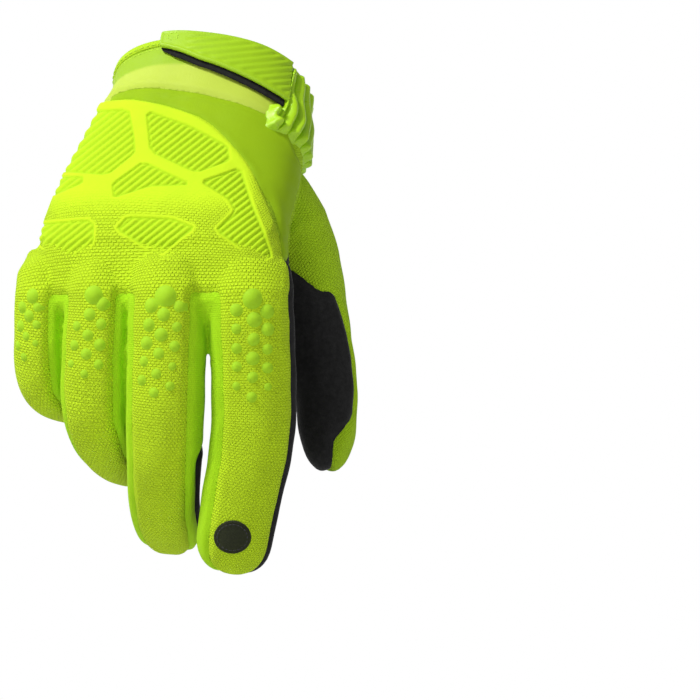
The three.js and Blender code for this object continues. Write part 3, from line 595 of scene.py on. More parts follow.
def smooth_material(name, colour, dark, roughness, grain, specular=0.35, darker=None):
    shader = Shader(name, roughness, specular, sheen=0.15, sheen_tint=(*HI_VIS_LIGHT, 1))
    rows = shader.bricks(0.5, 0.5, 0.16, 45)
    broad = shader.ramp(shader.noise(45, 4), 0.3, 0.75)
    cloth = shader.blend(shader.math("MULTIPLY", broad, 0.5), colour, dark)
    shader.colour(cloth if darker is None else shader.blend(shader.attribute("raised"), darker, cloth))
    shader.roughness(shader.ramp(shader.noise(250, 3), 0.3, 0.7, roughness - 0.07, roughness + 0.07))
    shader.bump((rows, grain), (shader.noise(900, 3), 0.06))
    return shader.material


def rubber_material(name, colour, dark, roughness):
    shader = Shader(name, roughness, 0.42)
    grain = shader.noise(1500, 4, 0.6)
    broad = shader.ramp(shader.noise(80, 4), 0.3, 0.7)
    shader.colour(shader.blend(shader.math("MULTIPLY", broad, 0.55), colour, dark))
    shader.roughness(shader.ramp(grain, 0.3, 0.7, roughness - 0.08, roughness + 0.1))
    shader.bump((grain, 0.05), (shader.noise(300, 3), 0.08))
    return shader.material


def thread_material(name, colour, dark):
    shader = Shader(name, 0.7, 0.3, sheen=0.2)
    twist = shader.add("ShaderNodeTexWave", bands_direction="DIAGONAL")
    shader.link(shader.place, twist.inputs["Vector"])
    twist.inputs["Scale"].default_value = 900
    shader.colour(shader.blend(twist.outputs["Fac"], dark, colour))
    shader.bump((twist.outputs["Fac"], 0.06))
    return shader.material


MATERIALS = {
    "knit": knit_material("glove_knit", HI_VIS, HI_VIS_DEEP, 1.4, 0.95, 0.36, 0.42, shade=0.26),
    "pad": knit_material("glove_pad", HI_VIS, HI_VIS_DEEP, 1.4, 0.95, 0.36, 0.4, masked=True, shade=0.25),
    "mesh": knit_material("glove_mesh", (0.45, 0.74, 0.01), HI_VIS_DEEP, 1.3, 1.1, 0.42, 0.32, turn=30),
    "side": knit_material("glove_side_strip", (0.42, 0.78, 0.006), (0.3, 0.6, 0.004), 0.9, 0.7, 0.2, 0.1),
    # the wrist panel's colour is darker than the knit: partly its own darker smooth fabric, partly painted
    # shade of a side turned away from the light
    "wrist": smooth_material("glove_wrist", (0.31, 0.5, 0.005), (0.22, 0.39, 0.003), 0.7, 0.03, 0.15),
    "cuff": smooth_material("glove_cuff", (0.52, 0.66, 0.06), (0.47, 0.62, 0.045), 0.6, 0.04,
                            darker=(0.33, 0.54, 0.01)),
    "binding": knit_material("glove_binding", (0.52, 0.8, 0.02), HI_VIS_DEEP, 0.9, 0.5, 0.2, 0.12, shade=0.3),
    "strap": rubber_material("glove_strap", (0.38, 0.63, 0.008), (0.31, 0.55, 0.006), 0.5),
    "gather": smooth_material("glove_gather", (0.42, 0.72, 0.01), (0.34, 0.62, 0.008), 0.34, 0.03,
                              specular=0.5),
    "suede": suede_material("glove_suede", BLACK, BLACK_WORN, 0.16),
    "suede_pad": suede_material("glove_suede_pad", (0.011, 0.011, 0.011), (0.03, 0.03, 0.03), 0.14),
    "patch": knit_material("glove_patch", (0.012, 0.012, 0.013), (0.006, 0.006, 0.006), 0.7, 0.5, 0.16, 0.08),
    "hook": suede_material("glove_hook", (0.01, 0.01, 0.01), (0.03, 0.03, 0.03), 0.3),
    "print": rubber_material("glove_grip_print", (0.55, 0.88, 0.01), (0.48, 0.8, 0.008), 0.42),
    "dots": rubber_material("glove_dots", (0.38, 0.67, 0.008), (0.33, 0.6, 0.006), 0.8),
    "lining": knit_material("glove_lining", (0.2, 0.36, 0.01), (0.1, 0.2, 0.005), 1.0, 0.8, 0.25, 0.1),
    "lining_dark": suede_material("glove_lining_dark", (0.012, 0.012, 0.012), (0.03, 0.03, 0.03), 0.1),
    "thread_dark": thread_material("glove_thread_dark", (0.05, 0.05, 0.052), (0.016, 0.016, 0.017)),
    "thread_green": thread_material("glove_thread_green", (0.62, 0.9, 0.05), (0.4, 0.68, 0.01)),
}


# Pieces
def piece(name, points, faces, material, stands_for=(), inner=None, cloth=None, wall=0.0,
          values=None):
    mesh = new_mesh(name, points, faces)
    obj = add_object(name, mesh)
    mesh.shade_smooth()
    mesh.materials.append(MATERIALS[material])
    if cloth is not None:
        layer = mesh.uv_layers.new(name="UVMap")
        layer.data.foreach_set("uv", (cloth / CLOTH_UNIT).astype(np.float32).ravel())
    for key, share in (values or {}).items():
        attribute = mesh.attributes.new(key, "FLOAT", "POINT")
        attribute.data.foreach_set("value", share.astype(np.float32))
    if wall:
        mesh.materials.append(MATERIALS[inner or material])
        solid = obj.modifiers.new("wall", "SOLIDIFY")
        solid.thickness = wall * MM
        solid.offset = -1
        solid.material_offset = 1
        solid.material_offset_rim = 0
    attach(obj, "root")
    if stands_for:
        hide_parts(*stands_for)
    return obj


TUBE_SHIFT = 7.3  # each tube's cloth starts this much further along
HAND_BEND = 0.8  # radius of the hand's cloth as a share of its half width


def cloth_of(faces, tube_index, located):
    """Cloth coordinates of each corner: round its tube and along it, in millimetres."""
    first = tube_index[faces[:, 0]]
    along = np.empty(faces.shape)
    around = np.empty(faces.shape)
    for k, tube in enumerate(TUBES):
        rows = first == k
        if not rows.any():
            continue
        place, angle, _ = located[k]
        corner = faces[rows]
        turn = angle[corner]
        turn = turn - 360 * np.round((turn - turn[:, :1]) / 360)
        radius = np.interp(place[corner], tube.place, np.broadcast_to(tube.half, tube.place.shape))
        if tube is HAND:
            radius = np.full(corner.shape, HAND_WIDTH / 2 * HAND_BEND)
        along[rows] = place[corner] + k * TUBE_SHIFT
        around[rows] = np.radians(turn) * radius.mean()
    return np.stack([around, along], axis=-1)


def node_tree(name):
    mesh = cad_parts[name].data
    points = np.empty(len(mesh.vertices) * 3)
    mesh.vertices.foreach_get("co", points)
    faces = [list(p.vertices) for p in mesh.polygons]
    return BVHTree.FromPolygons((points.reshape(-1, 3) / MM).tolist(), faces)


FRONTS = ("index_front", "middle_front", "ring_front", "little_front", "thumb_front")
PANELS = (  # node, material, slot, wall, lining
    ("palm_panel", "suede", "suede", 1.3, "lining_dark"),
    ("back_panel", "knit", "knit", 1.3, "lining"),
    ("wrist_panel", "wrist", "smooth_panel", 1.3, "lining"),
    ("thumb_panel", "mesh", "mesh", 1.3, "lining"),
    *(("fourchette_" + pair, "side", "side_strip", 1.1, "lining")
      for pair in ("index_middle", "middle_ring", "ring_little")),
    ("cuff", "cuff", "cuff_fabric", 1.4, "lining"),
)
COLUMN = {name: k for k, (name, *_) in enumerate(PANELS)}
FAR = 7.0  # distances from a solid piece are cut off here
BORDER_PASSES = 5
BORDER_BLEND = 0.6  # share of the neighbours in each pass
WRIST_REACH = 3.2  # the wrist panel runs on under the pad's border by this
STRIP_REACH = 5.0  # the strip beside the middle finger is this much wider above STRIP_END
STRIP_END = -143.0
STRIP_FADE = 8
WRIST_NEAR = 5.5  # within this of the wrist panel the back panel draws back from it
FINGER_NEAR = 0.12  # how far from a finger's surface, as a share of its radius
CUFF_BRIGHT = 11.0  # the cuff is brighter from here to its seam
SEAM_DEPTH = 0.6
SEAM_WIDTH = 1.0
SEAM_PUFF = 0.22
PUFF_PLACE = 2.6
PUFF_WIDTH = 1.3
OPENING_EDGE = 0.6
OFF_HAND = 99  # keeps the opening's cut away from the fingers and the thumb
WAVE_HEIGHT = 0.22
WAVE_AXES = np.array([[0.21, 0.13, 0.17], [-0.11, 0.19, 0.23]])
WAVE_SHIFT = 1.3
CUFF_RIBS = dict(start=150, end=236, low=4, high=22, pitch=4.2, slope=0.55, height=0.55, radius=32)
RIB_FADE = dict(angle=12, place=1.5)


def nodes_of(name):
    return (name, *FRONTS) if name == "palm_panel" else (name,)


def nearest_tube(located):
    return np.array([np.abs(radius - 1) for _, _, radius in located]).argmin(0)


def panel_fields():
    """For each panel, minus the distance of each skin point from its solid piece, smoothed over the skin."""
    fields = []
    for name in COLUMN:
        best = np.full(len(SKIN), FAR)
        for tree in map(node_tree, nodes_of(name)):
            found = [tree.find_nearest(p, FAR)[3] for p in SKIN.tolist()]
            best = np.minimum(best, [FAR if d is None else d for d in found])
        fields.append(-best)
    fields = np.array(fields).T
    near_wrist = fields[:, COLUMN["wrist_panel"]] > -WRIST_NEAR
    fields[:, COLUMN["back_panel"]] -= WRIST_REACH * near_wrist
    _, angle, radius = LOCATED[TUBES.index(FINGER_TUBES[MIDDLE])]
    beside_index = (np.abs(radius - 1) < FINGER_NEAR) & (angle % 360 < 180)
    strip = STRIP_REACH * smooth_step((SKIN[:, 2] - STRIP_END) / STRIP_FADE)
    fields[:, COLUMN["palm_panel"]] -= strip * beside_index
    for _ in range(BORDER_PASSES):
        fields = (1 - BORDER_BLEND) * fields + BORDER_BLEND * averaged(fields, SKIN_EDGES, len(SKIN))
    return fields


LOCATED = [tube.locate(SKIN) for tube in TUBES]
HAND_PLACE, HAND_ANGLE, _ = LOCATED[0]
FIELDS = panel_fields()


def cuff_rib_height(angle, place):
    """Diagonal moulded ribs round the palm side of the cuff."""
    turn = angle % 360
    inside = 1.0
    for value, low, high, fade in ((turn, "start", "end", "angle"), (place, "low", "high", "place")):
        inside = inside * smooth_step((value - CUFF_RIBS[low]) / RIB_FADE[fade])
        inside = inside * smooth_step((CUFF_RIBS[high] - value) / RIB_FADE[fade])
    phase = (np.radians(turn) * CUFF_RIBS["radius"] + place * CUFF_RIBS["slope"] * 2) / CUFF_RIBS["pitch"]
    return CUFF_RIBS["height"] * inside * ribs(phase, 0.8)


def make_panels():
    opening = HAND_PLACE - OPENING_EDGE + np.where(nearest_tube(LOCATED) == 0, 0, OFF_HAND)
    for k, (name, material, slot, wall, lining) in enumerate(PANELS):
        others = np.delete(FIELDS, k, axis=1).max(1)
        field = np.minimum(FIELDS[:, k] - others, opening)
        faces, edge, (points, normals) = clip(SKIN_TRIANGLES, field, [SKIN, SKIN_NORMALS])
        normals = unit(normals)
        lift = SEAM_PUFF * ridge(edge, PUFF_PLACE, PUFF_WIDTH) - SEAM_DEPTH * ridge(edge, 0, SEAM_WIDTH)
        located = [tube.locate(points) for tube in TUBES]
        values = {}
        if name == "cuff":
            place, angle, _ = located[0]
            lift = lift + cuff_rib_height(angle, place)
            values["raised"] = smooth_step((place - CUFF_BRIGHT) / 1.5)
        wave = np.sin(points @ WAVE_AXES[0]) * np.sin(points @ WAVE_AXES[1] + WAVE_SHIFT)
        points = points + normals * (lift + WAVE_HEIGHT * wave)[:, None]
        cloth = cloth_of(faces, nearest_tube(located), located)
        piece(name + "_cloth", points, faces, material, nodes_of(name), lining, cloth, wall, values)


make_panels()


# Layers that lie on the skin, cut from it by an outline
def refined(triangles, arrays):
    """Each triangle in four."""
    edges = edges_of(triangles)
    count = len(arrays[0])
    number = {(a, b): count + k for k, (a, b) in enumerate(map(tuple, edges.tolist()))}
    pairs = np.sort(np.stack(sides_of(triangles), axis=1), axis=2)
    middle = np.array([number[tuple(p)] for p in pairs.reshape(-1, 2).tolist()]).reshape(-1, 3)
    a, b, c = triangles.T
    ab, bc, ca = middle.T
    parts = [(a, ab, ca), (ab, b, bc), (ca, bc, c), (ab, bc, ca)]
    arrays = [np.concatenate([v, (v[edges[:, 0]] + v[edges[:, 1]]) / 2]) for v in arrays]
    return np.concatenate([np.stack(p, axis=1) for p in parts]), arrays


LAYER_MARGIN = 1.5


def layer(field, outline_field, times):
    """The skin where field is above 0, refined. outline_field gives the exact field of the finer points."""
    triangles, _, (points, normals) = clip(SKIN_TRIANGLES, field + LAYER_MARGIN, [SKIN, SKIN_NORMALS])
    for _ in range(times):
        triangles, (points, normals) = refined(triangles, [points, normals])
    normals = unit(normals)
    triangles, edge, (points, normals) = clip(triangles, outline_field(points, normals), [points, normals])
    return triangles, edge, points, unit(normals)


SHORTEST_LINE = 8  # points


def contours(triangles, field, level, points, normals):
    """Ordered lines on a mesh where field is level, as (points, normals) pairs."""
    side = field > level
    mixed = triangles[(side[triangles].sum(1) % 3) > 0]
    where, links = {}, {}
    for tri in mixed.tolist():
        ends = []
        for i, j in ((0, 1), (1, 2), (2, 0)):
            a, b = sorted((tri[i], tri[j]))
            if side[a] != side[b]:
                if (a, b) not in where:
                    t = (level - field[a]) / (field[b] - field[a])
                    where[a, b] = (points[a] * (1 - t) + points[b] * t, normals[a] * (1 - t) + normals[b] * t)
                ends.append((a, b))
        links.setdefault(ends[0], []).append(ends[1])
        links.setdefault(ends[1], []).append(ends[0])
    lines = []
    while links:
        start = next((k for k, v in links.items() if len(v) == 1), next(iter(links)))
        line = [start]
        while True:
            following = [k for k in links.pop(line[-1], []) if k in links]
            if not following:
                break
            line.append(following[0])
        if len(line) > SHORTEST_LINE:
            lines.append((np.array([where[k][0] for k in line]), np.array([where[k][1] for k in line])))
    return lines


STITCH_RING = ((-0.5, 0.05), (-0.42, 0.7), (-0.15, 1.0), (0.15, 1.0), (0.42, 0.7), (0.5, 0.05))
STITCH_SIDES = 6
STITCH_FLATNESS = 0.75  # height of a thread to its width
LINE_PASSES = 6


def stitches(name, lines, material, pitch=2.5, length=1.75, radius=0.24, lift=0.06):
    """Short threads end to end along lines of (points, normals)."""
    all_points, all_faces = [], []
    ring_faces = grid_faces(len(STITCH_RING), STITCH_SIDES, closed=True)
    turn = np.arange(STITCH_SIDES) * 2 * np.pi / STITCH_SIDES
    for points, normals in lines:
        for _ in range(LINE_PASSES):
            points[1:-1] = (points[:-2] + points[2:] + 2 * points[1:-1]) / 4
        place = np.concatenate([[0], np.cumsum(np.linalg.norm(np.diff(points, axis=0), axis=1))])
        for middle in np.arange(pitch, place[-1] - pitch / 2, pitch):
            at = lambda s, a: np.array([np.interp(s, place, a[:, k]) for k in range(3)])
            along = unit(at(middle + length / 2, points) - at(middle - length / 2, points))
            up = at(middle, normals)
            up = unit(up - (up @ along) * along)
            across = np.cross(along, up)
            centre = at(middle, points) + up * lift
            start = sum(len(p) for p in all_points)
            wide, high = across * np.cos(turn)[:, None] * radius, up * np.sin(turn)[:, None] * radius
            ring = wide + high * STITCH_FLATNESS
            rows = [centre + along * (s * length) + ring * r for s, r in STITCH_RING]
            all_points.append(np.concatenate(rows))
            all_faces.append(ring_faces + start)
    piece(name, np.concatenate(all_points), np.concatenate(all_faces), material)


# Back pad
PAD_OUTLINE = (
    (-36.3, -8.8), (-25.4, -8.1), (-12.9, -10.7), (-0.3, -15.2), (8.7, -22.7), (17.6, -33.5), (22.5, -44.3),
    (27, -55.2), (29.6, -66.3), (28, -70), (24, -71.5), (19.5, -69.5), (12, -66), (-2, -65),
    (-16, -69.5), (-31, -66), (-41, -66), (-49, -71.5), (-60, -66), (-68.8, -64), (-72, -50),
    (-57, -24), (-46, -10.5),
)
PAD_CELLS = (
    ((-48.9, -13.8), (-27.7, -12.7), (-25.8, -22.4), (-25.4, -28.8), (-35.5, -37), (-56.1, -35.5)),
    ((-21.3, -13.1), (-4.5, -19.1), (8.9, -26.5), (9.7, -31.8), (-2.7, -36.3), (-19.8, -28.4)),
    ((-22.4, -32.1), (-4.5, -40.7), (-20, -41.2), (-33.3, -45.6), (-34, -40.4)),
    ((-1.2, -39.6), (13.4, -34.4), (18.2, -49), (25.4, -67), (21.6, -68.5), (4.4, -57.9), (11.5, -50.5),
     (9, -46)),
    ((-62, -55.5), (-43, -53.8), (-40.8, -55.7), (-41.1, -61.7), (-48.6, -69.1), (-62, -62.6)),
    ((-32.5, -57.2), (-28.4, -52.7), (-11.6, -53.4), (-3, -56.8), (-16.8, -66.5)),
    ((-57.1, -37.8), (-44.9, -37.8), (-44.9, -40), (-56.3, -45)),
)
PAD_HEIGHT = 1.25
PAD_SINK = 0.15
PAD_EDGE = 1.3
LOW_BORDER = dict(start=-54, fade=10, width=8)  # the border towards the knuckles rises more gently
PAD_RIM = dict(height=0.3, place=2.4, width=1.5)
CELL_DEPTH = 0.8
CELL_CORNER = 0.1  # share of a side that its corners take
CELL_EDGE = 0.5  # a cell's side starts to slope this far outside its outline
CELL_SLOPE = 0.9
CELL_SHADE = dict(floor=0.75, rib=0.45)  # painted shade: how much darker the floor of a cell is coloured, and the ribs' tops less so
BARE_EDGE = 1.6  # no knit this near to a cell
KNIT_LOW = dict(start=-40, fade=16)  # the knit covers the pad towards the knuckles
KNIT_SIDE = dict(start=14, fade=8)  # and towards the thumb
RIB_HEIGHT = 0.8  # share of a cell's depth
RIB_PITCH = 2.05
RIB_RISE = np.radians(38)
PAD_SIDE_LIMIT = 93
ARC = 0.8  # millimetres of the hand's side to a degree
OUTSIDE = -9.0


def pad_field(points, _):
    _, angle, _ = HAND.locate(points)
    inside = depth_inside(seen_at(points), rounded(PAD_OUTLINE))
    return np.minimum(inside, (PAD_SIDE_LIMIT - np.abs(angle)) * ARC)


def make_pad():
    rough = np.where(np.abs(HAND_ANGLE) < PAD_SIDE_LIMIT + 3, pad_field(SKIN, SKIN_NORMALS), OUTSIDE)
    triangles, edge, points, normals = layer(rough, pad_field, 1)
    seen = seen_at(points)
    low_border = smooth_step((LOW_BORDER["start"] - seen[:, 1]) / LOW_BORDER["fade"])
    height = PAD_HEIGHT * smooth_step(edge / (PAD_EDGE + LOW_BORDER["width"] * low_border)) - PAD_SINK
    height += PAD_RIM["height"] * ridge(edge, PAD_RIM["place"], PAD_RIM["width"]) * (1 - low_border)
    bare = np.ones(len(points))
    # share of the pad's own colour; below 1 the knit is blended to its deep gap colour as painted shade
    raised = np.ones(len(points))
    rise = seen @ np.array([-np.sin(RIB_RISE), np.cos(RIB_RISE)])
    cell_ribs = ribs(rise / RIB_PITCH, 0.7)
    for cell in PAD_CELLS:
        depth = depth_inside(seen, rounded(cell, 1, CELL_CORNER))
        sunk = smooth_step((depth + CELL_EDGE) / CELL_SLOPE)
        top = cell_ribs * smooth_step(depth / CELL_SLOPE)
        height -= CELL_DEPTH * (sunk - RIB_HEIGHT * top)
        # painted shade: the sunk floor of each cell is coloured darker, the rib tops in it less so
        raised = np.minimum(raised, 1 - sunk * (CELL_SHADE["floor"] - CELL_SHADE["rib"] * top))
        bare = np.minimum(bare, 1 - smooth_step(depth + BARE_EDGE))
    low = smooth_step((KNIT_LOW["start"] - seen[:, 1]) / KNIT_LOW["fade"])
    knit = np.maximum(low, smooth_step((seen[:, 0] - KNIT_SIDE["start"]) / KNIT_SIDE["fade"])) * bare
    cloth = cloth_of(triangles, np.zeros(len(points), int), [HAND.locate(points)])
    pad = piece("back_pad_embossed", points + normals * height[:, None], triangles, "pad", ("back_pad",),
                cloth=cloth, values={"knit": knit, "raised": raised})


make_pad()


# Dots and grip prints, stamped on the skin
STAMP_REACH = 5


def stamps(name, places, normals, sizes, profile, sides, material, tangents=None):
    """Small raised forms: profile rows are (radius, height) as shares of the size."""
    all_points, all_faces = [], []
    faces = grid_faces(len(profile), sides, closed=True)
    turn = np.arange(sides) * 2 * np.pi / sides
    for k, (place, normal, size) in enumerate(zip(places, normals, sizes)):
        up = np.array([0, 0, 1.0]) if tangents is None else tangents[k]
        b = unit(up - (up @ normal) * normal)
        a = np.cross(b, normal)
        flat = np.concatenate([place + (a * np.cos(turn)[:, None] + b * np.sin(turn)[:, None]) * r * size
                               for r, _ in profile])
        high = np.repeat([h * size for _, h in profile], sides)
        found, _ = on_skin(flat + normal * STAMP_REACH, np.broadcast_to(-normal, flat.shape))
        found = np.where(np.isnan(found), flat, found)
        all_faces.append(faces + k * len(flat))
        all_points.append(found + normal * high[:, None])
    piece(name, np.concatenate(all_points), np.concatenate(all_faces), material)


DOT_PROFILE = (
    (1.4, -0.1), (1.2, -0.01), (1.0, 0.07), (0.8, 0.19), (0.6, 0.29), (0.38, 0.36), (0.15, 0.39), (0, 0.39),
)
DOT_SIDES = 20
DOT_COLUMNS = (  # first x, y and last x, y in the picture's frame, count, first and last radius
    (166, 296, 166, 296, 1, 3.3, 3.3), (164, 315, 154, 393, 5, 2.2, 1.5), (151, 306, 141, 380, 5, 2.15, 1.5),
    (180, 307, 170, 386, 5, 2.15, 1.5), (252, 298, 252, 298, 1, 3.2, 3.2), (254, 320, 252, 397, 5, 2.15, 1.5),
    (236, 310, 236, 386, 5, 2.1, 1.5), (268, 311, 268, 387, 5, 2.1, 1.5), (93, 294, 93, 294, 1, 3.1, 3.1),
    (89, 315, 84, 374, 4, 2.1, 1.6), (77, 326, 71, 364, 3, 1.95, 1.6), (103, 304, 99, 365, 4, 2.05, 1.6),
    (33, 296, 33, 296, 1, 2.7, 2.7), (38, 307, 36, 343, 3, 1.9, 1.6), (22, 307, 18, 346, 3, 1.9, 1.6),
    (29, 316, 24, 357, 3, 1.9, 1.5),
)


def make_dots():
    spots, sizes = [], []
    for x0, y0, x1, y1, count, first, last in DOT_COLUMNS:
        for share in np.linspace(0, 1, count) if count > 1 else [0.0]:
            spots.append((x0 + (x1 - x0) * share, y0 + (y1 - y0) * share))
            sizes.append(first + (last - first) * share)
    spots = np.array(spots)
    places, normals = on_skin(*pixel_ray(spots[:, 0], spots[:, 1]))
    stamps("knuckle_dots", places, normals, sizes, DOT_PROFILE, DOT_SIDES, "dots")


make_dots()

# Touch patch on the index fingertip
PATCH = dict(x=232.5, y=537, wide=18.6, high=16.4)
PATCH_PROFILE = (
    (1.03, -0.25), (1.0, 0.25), (0.97, 0.48), (0.92, 0.56), (0.86, 0.44), (0.8, 0.56), (0.55, 0.62),
    (0.25, 0.64), (0, 0.64),
)
PATCH_SIDES = 64
PATCH_SEAM = 5  # the row of the profile that the stitches run along


def make_patch():
    turn = np.arange(PATCH_SIDES) * 2 * np.pi / PATCH_SIDES
    share = np.repeat([r for r, _ in PATCH_PROFILE], PATCH_SIDES)
    x = PATCH["x"] + share * PATCH["wide"] * np.tile(np.cos(turn), len(PATCH_PROFILE))
    y = PATCH["y"] + share * PATCH["high"] * np.tile(np.sin(turn), len(PATCH_PROFILE))
    places, normals = on_skin(*pixel_ray(x, y))
    points = places + normals * np.repeat([h for _, h in PATCH_PROFILE], PATCH_SIDES)[:, None]
    faces = grid_faces(len(PATCH_PROFILE), PATCH_SIDES, closed=True)
    cloth = (np.stack([x, y], axis=1) / (FOCAL / -EYE[1]))[faces]
    piece("touch_patch_disc", points, faces, "patch", ("touch_patch",), cloth=cloth)
    row = PATCH_SEAM * PATCH_SIDES + np.append(np.arange(PATCH_SIDES), np.arange(3))
    seam = [(points[row], normals[row])]
    stitches("touch_patch_stitching", seam, "thread_dark", pitch=1.5, length=1.1, radius=0.2)


make_patch()

# Grip print: rows of hexagons on the palm side of the middle and index fingers
HEX_PROFILE = ((1.04, -0.15), (1.0, 0.06), (0.94, 0.12), (0.5, 0.13), (0, 0.13))
HEX_COLUMNS = (  # finger, across, distance of the first from the fingertip, count
    (MIDDLE, 0.0, 10.5, 1), (MIDDLE, -5.0, 15.5, 8), (MIDDLE, 0.3, 19.0, 8), (MIDDLE, 5.2, 15.0, 8),
    (INDEX, 0.0, 12.5, 1), (INDEX, -5.0, 17.0, 7), (INDEX, 0.3, 20.5, 7), (INDEX, 5.2, 16.5, 7),
)
HEX_PITCH = 7.0
HEX_REACH = 24
HEX_TIP_RADIUS = 3.3  # of the single one at the fingertip
HEX_RADII = (2.3, 2.3, 2.25, 2.2, 2.15, 2.0, 1.35, 0.75)


def make_grip_print():
    places, normals, tangents, sizes = [], [], [], []
    for k, across, first, count in HEX_COLUMNS:
        tube = FINGER_TUBES[k]
        for i in range(count):
            place = np.array([tube.place[-1] - first - i * HEX_PITCH])
            centre, side, out, along, half, *_ = (v[0] for v in tube.at(place))
            angle = np.degrees(across / half)
            aim = -out * np.cos(np.radians(angle)) + side * np.sin(np.radians(angle))
            found, normal = on_skin((centre + aim * HEX_REACH)[None], -aim[None])
            if np.isnan(found).any():
                continue
            places.append(found[0])
            normals.append(normal[0])
            tangents.append(along)
            sizes.append(HEX_TIP_RADIUS if count == 1 else HEX_RADII[i])
    stamps("grip_print", places, normals, sizes, HEX_PROFILE, 6, "print", tangents=tangents)


make_grip_print()

# Palm pads: shares of the hand's half width towards the thumb and of its length
UPPER_PALM_PAD = (
    (-0.95, 0.86), (-0.84, 0.885), (-0.73, 0.88), (-0.66, 0.865), (-0.55, 0.895), (-0.44, 0.91),
    (-0.25, 0.91), (-0.12, 0.875), (-0.04, 0.85), (0.05, 0.885), (0.18, 0.915), (0.33, 0.915), (0.46, 0.87),
    (0.53, 0.84), (0.61, 0.87), (0.73, 0.905), (0.93, 0.905), (0.93, 0.77), (0.9, 0.735), (0.05, 0.71),
    (-0.47, 0.68), (-0.92, 0.7),
)
LOWER_PALM_PAD = (
    (-0.45, 0.645), (-0.25, 0.624), (0.72, 0.628), (0.51, 0.4), (0.43, 0.3), (0.38, 0.27), (0.07, 0.27),
    (0.02, 0.41), (-0.06, 0.47), (-0.13, 0.49), (-0.18, 0.47), (-0.22, 0.41), (-0.29, 0.27), (-0.8, 0.28),
    (-0.76, 0.41), (-0.66, 0.55),
)
PALM_PAD_HEIGHT = 1.1
PALM_PAD_EDGE = 1.3
PALM_PAD_SINK = 0.2
PALM_SWELL = dict(height=0.7, start=2, fade=9)
STITCH_ROWS = (1.7, 3.4)  # distances from the border
STITCH_GROOVE = dict(depth=0.4, width=0.55)
PALM_DEPTHS = (4, 38)  # how far below the hand's middle line the pads may lie
PALM_FACING = 0.1
FACING_SCALE = 12  # turns the facing into millimetres from the border


def palm_field(outline):
    flat = rounded(np.array(outline) * [HAND_WIDTH / 2, HAND.place[-1]], 2)

    def field(points, normals):
        place, _, _ = HAND.locate(points)
        centre, side, out, _, half, _, _, _ = HAND.at(place)
        across = ((points - centre) * side).sum(1) / half * HAND_WIDTH / 2
        depth = -((points - centre) * out).sum(1)
        facing = -(normals * out).sum(1)
        inside = depth_inside(np.stack([across, place], axis=1), flat)
        limits = np.minimum(depth - PALM_DEPTHS[0], PALM_DEPTHS[1] - depth)
        return np.minimum(np.minimum(inside, limits), (facing - PALM_FACING) * FACING_SCALE)

    return field


def make_palm_pad(name, outline, node):
    field = palm_field(outline)
    triangles, edge, points, normals = layer(field(SKIN, SKIN_NORMALS), field, 1)
    swell = PALM_SWELL["height"] * smooth_step((edge - PALM_SWELL["start"]) / PALM_SWELL["fade"])
    height = PALM_PAD_HEIGHT * smooth_step(edge / PALM_PAD_EDGE) + swell - PALM_PAD_SINK
    for row in STITCH_ROWS:
        height -= STITCH_GROOVE["depth"] * ridge(edge, row, STITCH_GROOVE["width"])
    raised = points + normals * height[:, None]
    pad = piece(name, raised, triangles, "suede_pad", (node,))
    lines = [line for row in STITCH_ROWS for line in contours(triangles, edge, row, raised, normals)]
    stitches(name + "_stitching", lines, "thread_dark", pitch=2.3, length=1.7, radius=0.2)


make_palm_pad("upper_palm_pad_quilt", UPPER_PALM_PAD, "upper_palm_pad")
make_palm_pad("lower_palm_pad_quilt", LOWER_PALM_PAD, "lower_palm_pad")

# Cuff binding, strap with its hook layer, and the gathered side
BINDING_PROFILE = ((2.4, 0.0), (2.3, 0.45), (1.6, 0.75), (0.4, 0.85), (-0.8, 0.7), (-1.5, 0.1), (-1.65, -0.9),
                   (-1.45, -1.8), (-0.6, -2.5), (0.6, -2.6), (1.8, -2.45), (2.4, -2.0))
BINDING_SIDES = 220
BINDING_STITCHES = ((1.5, 0.85), (3.6, 0.15))  # place from the opening, lift
CLOTH_PER_DEGREE = 0.6
CLOTH_PER_ROW = 1.1


def make_binding():
    turn = np.arange(BINDING_SIDES) * 360 / BINDING_SIDES
    rows = [HAND.point(turn, np.full(BINDING_SIDES, place), lift) for place, lift in BINDING_PROFILE]
    rows = np.stack([*rows, rows[0]])
    faces = grid_faces(len(rows), BINDING_SIDES, closed=True)
    around = np.tile(turn * CLOTH_PER_DEGREE, len(rows))
    across = np.repeat(np.arange(len(rows)) * CLOTH_PER_ROW, BINDING_SIDES)
    cloth = np.stack([around, across], axis=1)[faces]
    wrap = (faces % BINDING_SIDES == 0) & ((faces % BINDING_SIDES).max(1) == BINDING_SIDES - 1)[:, None]
    cloth[..., 0] += np.where(wrap, 360 * CLOTH_PER_DEGREE, 0)
    piece("cuff_binding_band", rows.reshape(-1, 3), faces, "binding", ("cuff_binding",),
          cloth=cloth)
    ring = np.append(turn, turn[:3])
    lines = []
    for place, lift in BINDING_STITCHES:
        points = HAND.point(ring, np.full(len(ring), place), lift)
        lines.append((points, unit(points - HAND.at(np.full(len(ring), place))[0])))
    stitches("cuff_stitching", lines, "thread_green", pitch=2.6, length=1.9, radius=0.2)


make_binding()

